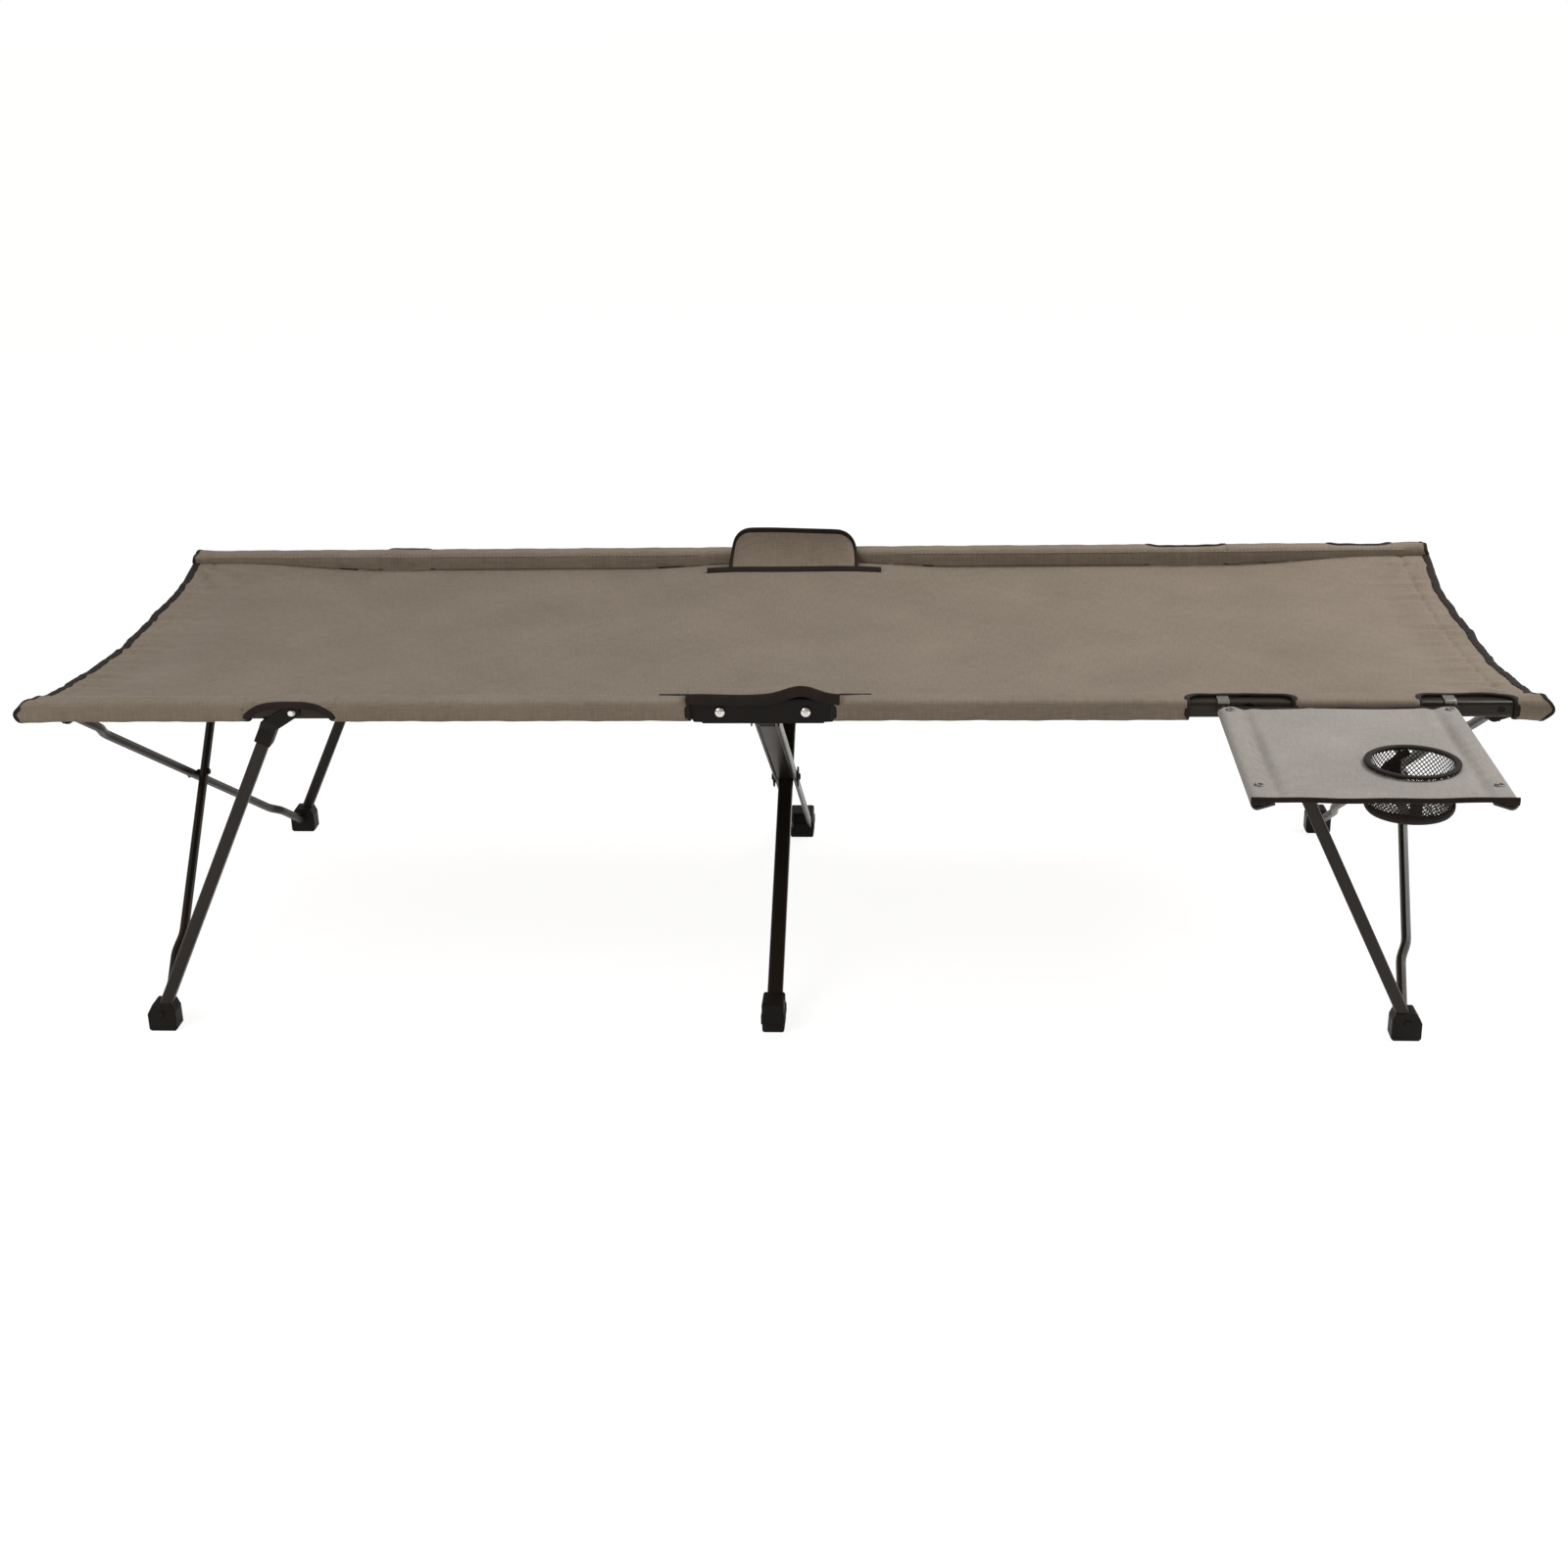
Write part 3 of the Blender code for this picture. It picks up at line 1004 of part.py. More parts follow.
def build():
    cot = empty("camp_cot", (0, 0, 0))
    near_axis = empty("near_bracket_frame", (0, -LEG_Y, MIDDLE_PIVOT_Z), cot)
    far_axis = empty("far_bracket_frame", (0, LEG_Y, MIDDLE_PIVOT_Z), cot)
    crossing = empty("middle_crossing_axis", (0, 0, MIDDLE_PIVOT_Z - SLOPE_LENGTH / 2), cot)

    bracket = bracket_mesh()
    screws = hinge_screws_mesh()
    rivet = leg_rivet_mesh()
    piece("near_center_bracket", corner_copy(bracket, 1, -1), BLACK_PLASTIC, near_axis)
    piece("far_center_bracket", bracket, BLACK_PLASTIC, far_axis)
    piece("near_hinge_screws", corner_copy(screws, 1, -1), ZINC, near_axis)
    piece("far_hinge_screws", screws, ZINC, far_axis)
    piece("near_leg_rivet", corner_copy(rivet, 1, -1), ZINC, near_axis)
    piece("far_leg_rivet", rivet, ZINC, far_axis)
    piece("near_flap", near_flap_mesh(), BED_CLOTH, near_axis)
    piece("far_flap", far_flap_mesh(), BED_CLOTH, far_axis)
    center_half_width = RAIL_Y - PANEL_EDGE_INSET
    center = panel_mesh(-PANEL_JOIN_X, PANEL_JOIN_X, 10, center_half_width)
    piece("bed_center", center, BED_CLOTH, near_axis)

    bar_slots = [(sign * (BAR_INNER + LEG_BAR_WIDTH / 2), LEG_BAR_WIDTH) for sign in (-1, 1)]
    piece("box_leg_tube", box_leg_mesh(), POWDER_COAT, crossing)
    piece("box_leg_head", leg_head_mesh(BOX_LEG_WIDTH - 2 * BOX_LEG_WALL - 2 * FIT,
                                        MIDDLE_LEG_DEPTH - 2 * BOX_LEG_WALL - 2 * FIT), BLACK_PLASTIC, crossing)
    piece("near_middle_foot", middle_foot_mesh(MIDDLE_FOOT_WIDTH, [(0.0, BOX_LEG_WIDTH)]), BLACK_PLASTIC, crossing)
    for bar_name, side in (("left", -1), ("right", 1)):
        piece("twin_leg_bar_" + bar_name, corner_copy(leg_bar_mesh(side), 1, -1), POWDER_COAT, near_axis)
    twin_head = leg_head_mesh(2 * (BAR_INNER - FIT), 2 * HEAD_RADIUS - 0.001)
    piece("twin_leg_head", corner_copy(twin_head, 1, -1), BLACK_PLASTIC, near_axis)
    far_foot = middle_foot_mesh(2 * BAR_OUTER + 0.005, bar_slots)
    piece("far_middle_foot", corner_copy(far_foot, 1, -1), BLACK_PLASTIC, near_axis)
    piece("middle_crossing_pin", corner_copy(crossing_pin_mesh(), 1, -1), BLACK_PLASTIC, near_axis)

    rail = rail_mesh()
    fitting = end_fitting_mesh()
    hub = hub_mesh()
    legs = {1: cross_leg_mesh(1), -1: cross_leg_mesh(-1)}
    strut = strut_mesh()
    knuckle = knuckle_mesh()
    knuckle_screw = knuckle_screw_mesh()
    foot = end_foot_mesh()
    crossing_pin = end_crossing_pin_mesh()
    layers = {(-1, -1): 1, (-1, 1): -1, (1, -1): -1, (1, 1): 1}

    for end_name, side_x in (("left", -1), ("right", 1)):
        for side_name, side_y in (("near", -1), ("far", 1)):
            corner = side_name + "_" + end_name
            rail_axis = empty(corner + "_rail_axis", (side_x * HINGE_PIN_X, side_y * RAIL_Y, RAIL_HEIGHT), cot)
            hub_axis = empty(corner + "_hub_axis", (side_x * LEG_TOP_X, side_y * LEG_Y, LEG_TOP_Z), rail_axis)
            strut_axis = empty(corner + "_strut_axis", (side_x * STRUT_PIVOT_X, side_y * RAIL_Y, RAIL_HEIGHT),
                               rail_axis)

            def mirrored(mesh):
                return corner_copy(mesh, side_x, side_y)

            piece(corner + "_rail", mirrored(rail), POWDER_COAT, rail_axis)
            piece(corner + "_end_fitting", mirrored(fitting), BLACK_PLASTIC, rail_axis)
            piece(corner + "_knuckle_screw", mirrored(knuckle_screw), ZINC, rail_axis)
            piece(corner + "_hub", mirrored(hub), BLACK_PLASTIC, hub_axis)
            layer = layers[(side_x, side_y)]
            piece(corner + "_cross_leg", mirrored(legs[layer]), POWDER_COAT, hub_axis)
            if layer == -1:
                piece(end_name + "_crossing_pin", mirrored(crossing_pin), BLACK_PLASTIC, hub_axis)
            piece(corner + "_strut", mirrored(strut), POWDER_COAT, strut_axis)
            piece(corner + "_knuckle", mirrored(knuckle), BLACK_PLASTIC, strut_axis)
            piece(corner + "_foot", mirrored(foot), BLACK_PLASTIC, strut_axis)

    left_axis = bpy.data.objects["near_left_rail_axis"]
    right_axis = bpy.data.objects["near_right_rail_axis"]
    piece("bed_left", bed_end_mesh(-1), BED_CLOTH, left_axis)
    piece("bed_right", bed_end_mesh(1), BED_CLOTH, right_axis)

    table = empty("table_frame_axis", (CUP_X, -(RAIL_Y + RAIL_SIDE), RAIL_HEIGHT), right_axis)
    piece("table_arm_left", table_arm_mesh(ARM_X[0]), POWDER_COAT, table)
    piece("table_arm_right", table_arm_mesh(ARM_X[1]), POWDER_COAT, table)
    piece("table_spreader", table_spreader_mesh(), POWDER_COAT, table)
    piece("table_cloth", table_cloth_mesh(), TABLE_CLOTH, table)
    piece("cup_pocket", cup_pocket_mesh(), MESH_NET, table)
    piece("cup_rim", cup_rim_mesh(), BLACK_PLASTIC, table)

    cot.location = (0, -ORIGIN_Y, 0)


build()
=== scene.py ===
import bmesh
import bpy
import numpy as np
from mathutils import Matrix, Vector


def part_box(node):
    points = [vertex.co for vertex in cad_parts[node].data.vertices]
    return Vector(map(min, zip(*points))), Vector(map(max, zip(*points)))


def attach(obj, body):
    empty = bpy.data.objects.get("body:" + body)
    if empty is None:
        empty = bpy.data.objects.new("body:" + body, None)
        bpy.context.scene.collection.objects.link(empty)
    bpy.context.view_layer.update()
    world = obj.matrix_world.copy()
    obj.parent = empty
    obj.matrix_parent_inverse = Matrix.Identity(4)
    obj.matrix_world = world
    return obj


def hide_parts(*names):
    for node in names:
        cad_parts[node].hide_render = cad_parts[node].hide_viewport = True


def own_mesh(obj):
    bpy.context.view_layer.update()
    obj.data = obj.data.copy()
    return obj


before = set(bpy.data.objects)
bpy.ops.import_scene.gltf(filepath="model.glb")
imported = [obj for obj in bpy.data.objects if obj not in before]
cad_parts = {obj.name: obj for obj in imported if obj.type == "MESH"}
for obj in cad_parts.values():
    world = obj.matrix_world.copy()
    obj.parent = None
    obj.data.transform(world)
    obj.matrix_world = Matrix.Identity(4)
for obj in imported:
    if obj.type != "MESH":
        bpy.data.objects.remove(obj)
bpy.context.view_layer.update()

# The tubes: rails, legs and struts of drawn steel, powder-coated dark brown.
# The coat flows out to a soft gloss with a fine orange peel, so a face seen at a low
# angle mirrors the pale floor as a soft grey strip.


def linear(code):
    """Linear RGBA of an sRGB hex: c/12.92 up to 0.04045, above it ((c + 0.055)/1.055) to the power 2.4."""
    c = np.array([int(code[i : i + 2], 16) for i in (1, 3, 5)]) / 255
    return (*np.where(c <= 0.04045, c / 12.92, ((c + 0.055) / 1.055) ** 2.4).tolist(), 1.0)


def add_node(tree, kind, settings=None, links=None):
    """Adds one shader node, sets its attributes or input values, and links inputs to other outputs."""
    node = tree.nodes.new(kind)
    for key, value in (settings or {}).items():
        if isinstance(key, int) or key in node.inputs:
            node.inputs[key].default_value = value
        else:
            setattr(node, key, value)
    for key, source in (links or {}).items():
        tree.links.new(source, node.inputs[key])
    return node


def new_finish(name, **shader_values):
    """A node material and its tree and shader; underscores in the keywords stand for spaces."""
    material = bpy.data.materials.new(name)
    material.use_nodes = True
    shader = material.node_tree.nodes["Principled BSDF"]
    for key, value in shader_values.items():
        shader.inputs[key.replace("_", " ")].default_value = value
    return material, material.node_tree, shader


def finish_solid(material, *names):
    """Gives CAD nodes their real finish, in every slot they have."""
    for name in names:
        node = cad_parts[name]
        if not node.material_slots:
            node.data.materials.append(material)
        for held in node.material_slots:
            held.material = material


def noise(tree, scale, detail=2.0, at=None):
    """Noise from 0 to 1 of that scale and detail, over Object coordinates or the vector given."""
    if at is None:
        at = add_node(tree, "ShaderNodeTexCoord").outputs["Object"]
    node = add_node(tree, "ShaderNodeTexNoise", {"Scale": scale, "Detail": detail}, {"Vector": at})
    return node.outputs["Fac"]


def wire_finish(tree, shader, share, dark, light, gloss=None, grain=None):
    """Blends two colours by a share; gloss is a share and the roughness at its two ends, and grain a share
    and the strength and depth of its relief."""
    tone = add_node(tree, "ShaderNodeMix",
                    {"data_type": "RGBA", 6: linear(dark), 7: linear(light)}, {0: share})
    tree.links.new(tone.outputs[2], shader.inputs["Base Color"])
    if gloss:
        by, low, high = gloss
        rough = add_node(tree, "ShaderNodeMapRange", {"To Min": low, "To Max": high}, {"Value": by})
        tree.links.new(rough.outputs["Result"], shader.inputs["Roughness"])
    if grain:
        by, strength, deep = grain
        relief = add_node(tree, "ShaderNodeBump", {"Strength": strength, "Distance": deep}, {"Height": by})
        tree.links.new(relief.outputs["Normal"], shader.inputs["Normal"])


powder_coat, tree, shader = new_finish("powder_coated_steel", Specular_IOR_Level=0.24)
# Orange peel of a thin powder coat is 1.5 to 2.5 mm from crest to crest.
peel, cloudy = noise(tree, 420.0, 1.0), noise(tree, 14.0, 3.0)
wire_finish(tree, shader, cloudy, "#1A140F", "#2A2119", (cloudy, 0.24, 0.38), (peel, 0.12, 0.0002))

corners = {"near_left": (-1, -1), "near_right": (1, -1), "far_left": (-1, 1), "far_right": (1, 1)}
finish_solid(powder_coat, "box_leg_tube", "twin_leg_bar_left", "twin_leg_bar_right",
             *[f"{c}_{piece}" for c in corners for piece in ("rail", "cross_leg", "strut")])

# Brackets, knuckles, hubs and feet: moulded black nylon.
# The mould's fine spark texture scatters the light, so edges stay soft and faces dark.
nylon, tree, shader = new_finish("moulded_black_nylon", Specular_IOR_Level=0.14)
# Spark texture of about 0.6 mm grit, over slow flow shading from the moulding.
grit, flow = noise(tree, 1600.0), noise(tree, 24.0)
wire_finish(tree, shader, flow, "#100E0C", "#1A1613", (grit, 0.42, 0.58), (grit, 0.18, 0.0001))
finish_solid(nylon, "near_center_bracket", "far_center_bracket", "twin_leg_head", "box_leg_head",
             "near_middle_foot", "far_middle_foot",
             "middle_crossing_pin", "left_crossing_pin", "right_crossing_pin",
             *[f"{c}_{piece}" for c in corners
               for piece in ("knuckle", "foot", "hub", "end_fitting")])

# Screws, rivets and the table's hooked arms: zinc-plated steel.
# The arms' plating is dull from its bath and slightly matt; the screws are tumbled bright,
# so that their heads catch the light nearly white.


def zinc_plating(name, dark, light, smooth, matt):
    """Metal between two greys and two roughnesses, both following one frost pattern."""
    material, tree, shader = new_finish(name, Metallic=1.0)
    frost = noise(tree, 260.0, 3.0)
    wire_finish(tree, shader, frost, dark, light, (frost, smooth, matt))
    return material


zinc = zinc_plating("zinc_plated_steel", "#8F8D88", "#BCBAB5", 0.2, 0.36)
bright_zinc = zinc_plating("bright_zinc_plated_steel", "#C9C7C3", "#EDEBE7", 0.12, 0.24)
finish_solid(zinc, "near_leg_rivet", "far_leg_rivet", "table_arm_left", "table_arm_right", "table_spreader")
finish_solid(bright_zinc, "near_hinge_screws", "far_hinge_screws", *[f"{c}_knuckle_screw" for c in corners])

# The bed: one taupe oxford-weave polyester sheet stretched between the rails.
# It is sewn to the sleeves along both sides, sags a little across, and puckers at its
# hemmed ends; it is built in three lengths so that each folds with its own rails.
bed_middle = (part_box("near_left_rail")[0].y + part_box("far_left_rail")[1].y) / 2
rail_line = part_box("far_left_rail")[1].y - 0.0125 - bed_middle
rail_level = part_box("near_left_rail")[1].z - 0.010
hinge_x = 0.0525
seam_out = 0.0158
bed_half = rail_line - seam_out
free_end = 0.93
cloth_thick = 0.0009


def add_object(name, data):
    """A new object with that data, at the origin of the scene."""
    thing = bpy.data.objects.new(name, data)
    bpy.context.scene.collection.objects.link(thing)
    return thing


def grid_mesh(name, grids, material, thickness=0.0, merge=0.0, rim=True):
    """One object from grids of points (rows, columns, xyz) with UV in metres (rows, columns, 2): each cell
    is a quad, grids join where points coincide, and thickness is laid behind the outward face. The rim is
    left out where two lengths meet, so that the light runs on over the join."""
    points, faces, flat, start = [], [], [], 0
    for place_grid, cloth_grid in grids:
        rows, columns = place_grid.shape[:2]
        first = start + np.arange(rows - 1)[:, None] * columns + np.arange(columns - 1)[None]
        faces.append(np.stack([first, first + 1, first + columns + 1, first + columns], -1).reshape(-1, 4))
        points.append(place_grid.reshape(-1, 3))
        flat.append(cloth_grid.reshape(-1, 2))
        start += rows * columns
    points, faces, flat = (np.concatenate(part) for part in (points, faces, flat))
    mesh = bpy.data.meshes.new(name)
    mesh.from_pydata(points.tolist(), [], faces.tolist())
    layer = mesh.uv_layers.new(name="cloth")
    order = np.zeros(len(mesh.loops), int)
    mesh.loops.foreach_get("vertex_index", order)
    layer.data.foreach_set("uv", flat[order].astype(np.float32).ravel())
    if merge:
        bm = bmesh.new()
        bm.from_mesh(mesh)
        bmesh.ops.remove_doubles(bm, verts=bm.verts, dist=merge)
        bm.to_mesh(mesh)
        bm.free()
    mesh.polygons.foreach_set("use_smooth", np.ones(len(mesh.polygons), bool))
    mesh.materials.append(material)
    piece = add_object(name, mesh)
    if thickness:
        wall = piece.modifiers.new("cloth thickness", "SOLIDIFY")
        wall.thickness = thickness
        wall.offset = -1.0
        wall.use_rim = rim
    return piece


def woven_cloth(name, dark, light, sheen):
    """Plain weave: slubs of thread run both ways along the UV, over a slow mottle from dyeing."""
    material, tree, shader = new_finish(name, Roughness=0.86, Sheen_Weight=sheen, Sheen_Roughness=0.45,
                                        Specular_IOR_Level=0.25)
    sheet_uv = add_node(tree, "ShaderNodeUVMap", {"uv_map": "cloth"}).outputs["UV"]
    # Threads lie about 0.5 mm apart; they are drawn as streaks of 2 mm, the finest that show.
    slubs = []
    for stretch in ((45.0, 520.0, 1.0), (520.0, 45.0, 1.0)):
        way = add_node(tree, "ShaderNodeMapping", {"Scale": stretch}, {"Vector": sheet_uv})
        slubs.append(noise(tree, 1.0, 2.0, way.outputs["Vector"]))
    both = add_node(tree, "ShaderNodeMath", {"operation": "ADD"}, {0: slubs[0], 1: slubs[1]})
    mottle = noise(tree, 7.0, 3.0, sheet_uv)
    sum_all = add_node(tree, "ShaderNodeMath", {"operation": "MULTIPLY_ADD", 1: 0.9},
                       {0: mottle, 2: both.outputs["Value"]})
    share = add_node(tree, "ShaderNodeMapRange", {"From Min": 0.95, "From Max": 1.95},
                     {"Value": sum_all.outputs["Value"]})
    # The relief of the crossing threads is drawn at 1.3 mm, coarse enough to show in a close view.
    threads = []
    for way in ("X", "Y"):
        wave = add_node(tree, "ShaderNodeTexWave",
                        {"bands_direction": way, "Scale": 240.0, "Distortion": 0.6, "Detail": 1.0},
                        {"Vector": sheet_uv})
        threads.append(wave.outputs["Fac"])
    crossing = add_node(tree, "ShaderNodeMath", {"operation": "MULTIPLY"}, {0: threads[0], 1: threads[1]})
    wire_finish(tree, shader, share.outputs["Result"], dark, light,
                grain=(crossing.outputs["Value"], 0.35, 0.00025))
    return material


bed_oxford = woven_cloth("taupe_polyester_oxford", "#6C6053", "#85796C", 0.12)


def ease(value, low, high):
    """0 below low, 1 above high, and 3t^2 - 2t^3 in between."""
    t = np.clip((value - low) / (high - low), 0, 1)
    return t * t * (3 - 2 * t)


def hump(value, middle, width):
    """A smooth hump of height 1: e to the power of -((value - middle) / width)^2."""
    return np.exp(-((value - middle) / width) ** 2)


def seam_level(x, side):
    """Height of the seam between bed and sleeve, side running from -1 near to +1 far: low on the rail's
    inner side, lifted over the centre ears, and drawn up at the ends, more so on the near side."""
    away = np.abs(x)
    lift = 0.0085 * (1 - ease(away, 0.060, 0.240)) + (0.0155 - 0.0025 * side) * ease(away, 0.640, 0.872)
    return rail_level - 0.0140 + lift


def bed_end(across, side):
    """x of the cut end at across, from -1 near to +1 far: straight and uneven, drawn out at the far side."""
    cut = 0.9260 if side < 0 else 0.9345
    uneven = (0.0016 * np.sin(7.0 * across + side) + 0.0009 * np.sin(19 * across)
              + 0.0005 * np.sin(37 * across))
    return side * (cut + uneven * (1 - across ** 6) + 0.0060 * ease(across, 0.70, 1.0))


def bed_level(x, across):
    """Height of the bed: the seam's height less a sag that is parabolic across and deeper at the free
    ends, plus ridges along x that fade from the ends, ridges from the corners, and seam puckers."""
    near_end = ease(np.abs(x), 0.66, free_end)
    near_hinge = 1 - ease(np.abs(x), 0.03, 0.16)
    sag = 0.0110 + 0.0130 * near_end + 0.0060 * near_hinge
    z = seam_level(x, across) - sag * (1 - np.abs(across) ** 2.2)
    z = z + 0.0240 * (1 - ease(np.abs(x), 0.070, 0.110)) * ease(-across, 0.90, 0.995)
    y = across * bed_half
    from_end = free_end - np.abs(x)
    phase = 4.0 * np.sign(x)
    comb = (np.sin(y * 150 + phase + 1.2 * np.sin(x * 30)) + 0.7 * np.sin(y * 243 + 2 * phase)
            + 0.5 * np.sin(y * 391 - phase + x * 20))
    pull = 0.45 + 0.55 * np.sin(y * 21 + phase) ** 2
    held = 0.12 + 0.88 * ease(from_end, 0.006, 0.028)
    z = z + 0.0034 * comb * pull * held * np.exp(-from_end / 0.042) * (1 - np.abs(across) ** 8)
    hem = 0.0017 * hump(from_end, 0.030, 0.0032)
    z = z - (hem + 0.0036 * hump(from_end, 0.075, 0.026) * (1 - across ** 4))
    for side_x, side_y, size, turn in ((-1, 1, 0.0048, 0.6), (1, 1, 0.0036, -0.5), (-1, -1, 0.0026, 0.7),
                                       (1, -1, 0.0028, -0.6)):
        dx, dy = (0.92 - side_x * x), (0.33 - side_y * y)
        reach = np.hypot(dx, dy)
        fan = np.sin(15 * np.arctan2(dy + 0.02, dx + 0.02) + turn)
        z = z + size * fan * held * np.exp(-reach / 0.075) * (1 - hump(dy, 0, 0.02))
    pucker = (np.sin(x * 118 + 2.0 * np.sin(x * 13)) + 0.6 * np.sin(x * 205 + 1.0)) * (1 - near_hinge)
    from_seam = (1 - np.abs(across)) * bed_half
    z = z + 0.00045 * pucker * np.exp(-from_seam / 0.022) * (1 - hump(from_seam, 0, 0.006))
    broad = np.sin(x * 9.0 + 0.7) * np.cos(y * 6.0 + 1.0) + 0.6 * np.sin(x * 17 + y * 9 + 2.0)
    return z + 0.0007 * broad * (1 - across ** 2) * (1 - 0.7 * near_hinge)


def bed_length(name, start, end, columns):
    """Bed cloth from start to end, functions of across: a grid of straight lines between the two, set
    closer by a power of 1.6 towards a free end."""
    across = np.sin(np.linspace(-1, 1, 144) * np.pi / 2 * 0.86) / np.sin(np.pi / 2 * 0.86)
    part, closer = np.linspace(0, 1, columns), 1.6
    if "left" in name:
        part = part ** closer
    if "right" in name:
        part = 1 - (1 - part) ** closer
    along, over = np.meshgrid(part, across, indexing="ij")
    x = start(over) + (end(over) - start(over)) * along
    y = over * bed_half
    return np.stack([x, y + bed_middle, bed_level(x, over)], -1), np.stack([x, y], -1)


straight = {-1: lambda across: -hinge_x + 0 * across, 1: lambda across: hinge_x + 0 * across}
lengths = {
    "bed_left_cloth": (lambda a: bed_end(a, -1), straight[-1], 150, "near_left_rail", "bed_left"),
    "bed_center_cloth": (straight[-1], straight[1], 20, "near_bracket", "bed_center"),
    "bed_right_cloth": (straight[1], lambda a: bed_end(a, 1), 150, "near_right_rail", "bed_right"),
}
for name, (start, end, columns, body, solid) in lengths.items():
    piece = grid_mesh(name, [bed_length(name, start, end, columns)], bed_oxford,
                      thickness=cloth_thick, rim=False)
    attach(piece, body)
    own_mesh(piece)
    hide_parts(solid)

# The sleeves: the bed's long edges folded round each rail and sewn back to the bed.
# They are of the same oxford cloth, slightly slack, left open and cut askew past the rail
# ends, and cut away where a knuckle, the centre bracket or a table hook grips the rail.
sleeve_out, sleeve_up = 0.0160, 0.0121


def squared(angle, power):
    """Cosine and sine of an angle, each raised to a power with its sign kept: a squared-off circle."""
    return [np.sign(part) * np.abs(part) ** power for part in (np.cos(angle), np.sin(angle))]


ring_out, ring_up = squared(np.linspace(np.pi, -np.pi, 1601), 0.42)
ring_out, ring_up = sleeve_out * ring_out, sleeve_up * ring_up
ring_run = np.concatenate([[0], np.cumsum(np.hypot(np.diff(ring_out), np.diff(ring_up)))])
sleeve_round = ring_run[-1]
screw_away = sum(v.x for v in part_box("far_right_knuckle_screw")) / 2


def sleeve_run(out=None, up=None):
    """Distance along the ring, from the seam over the rail, at which it passes out on its top or up on
    its outer wall."""
    if out is not None:
        top = ring_up > sleeve_up * 0.9
        return np.interp(out, ring_out[top], ring_run[top])
    outer = ring_out > sleeve_out * 0.9
    return np.interp(-up, -ring_up[outer], ring_run[outer])


def sleeve_point(x, run, side):
    """Point of the sleeve's skin at x and run: the ring round the rail, its seam raised with the bed's,
    with creases across it, a low boss over the knuckle screw's end, and a loose, wider mouth past the
    end of the rail."""
    out = np.interp(run, ring_run, ring_out)
    up = np.interp(run, ring_run, ring_up)
    share = run / sleeve_round
    seam_rise = seam_level(x, side) - rail_level
    at_seam = hump(share, 0, 0.055) + hump(share, 1, 0.055)
    up = up + seam_rise * at_seam * 0.98
    slack = (np.sin(x * 61 + side + 3 * share) * 0.5 + np.sin(x * 127 + 8 * share + 2 * side) * 0.35
             + np.sin(x * 233 - 11 * share) * 0.25)
    belly = 0.00055 * slack + 0.0006 * np.sin(np.pi * share) ** 2
    mouth = ease(np.abs(x), 0.885, 0.945)
    flutter = np.sin(9 * share * np.pi + np.sign(x) * 1.3 + side)
    length = np.hypot(out, up) + 1e-9
    swell = belly * (1 - at_seam) + mouth * (0.0013 + 0.0016 * flutter) * (1 - at_seam)
    out, up = out + out / length * swell, up + up / length * swell
    boss = hump(np.abs(x), screw_away, 0.015) * hump(share, 0, 0.16)
    out = out - 0.0034 * boss
    return np.stack([x + 0 * out, bed_middle + side * (rail_line + out), rail_level + up], -1)


def sleeve_mouth(run, side_x, side_y):
    """x of the sleeve's cut end, by share of the way round: on the near side it starts back on the inner
    top edge and runs out askew to a tip on the outer wall."""
    share = run / sleeve_round
    reach = {(-1, -1): (0.924, 0.912, 0.926, 0.938, 0.930, 0.922, 0.924),
             (1, -1): (0.932, 0.926, 0.938, 0.944, 0.933, 0.930, 0.932),
             (-1, 1): (0.932, 0.930, 0.928, 0.930, 0.929, 0.930, 0.932),
             (1, 1): (0.940, 0.937, 0.934, 0.934, 0.933, 0.936, 0.940)}[side_x, side_y]
    fray = 0.0008 * np.sin(31 * share + side_x + side_y) + 0.0006 * np.sin(67 * share)
    return side_x * (np.interp(share, (0, 0.10, 0.39, 0.50, 0.61, 0.90, 1), reach) + fray)


notch_deep = 0.020


def notch_depth(x, low, high, run, radius, far_radius):
    """Where the cloth stops in a notch from low to high: at run, and near each side further round by a
    quarter oval, radius or far_radius long and at most notch_deep down."""
    depth = run
    for reach, from_side in ((radius, x - low), (far_radius, high - x)):
        fall = np.clip(reach - from_side, 0, reach) / reach
        depth = depth + min(reach, notch_deep) * (1 - np.sqrt(1 - fall ** 2))
    return depth


over_top = sleeve_run(out=-0.0105)
half_top = sleeve_run(out=-0.0020)
down_wall = sleeve_run(up=0.0095)
notches = {
    "near_left": [(-0.645, -0.533, down_wall, 0.046, 0.046)],
    "near_right": [(0.512, 0.641, over_top, 0.017, 0.017), (0.787, 0.902, over_top, 0.012, 0.036)],
    "far_left": [(-0.640, -0.560, down_wall, 0.014, 0.014)],
    "far_right": [(0.527, 0.644, half_top, 0.020, 0.020), (0.796, 0.889, half_top, 0.020, 0.020)],
}
inner_end = {-1: 0.0925, 1: 0.0868}


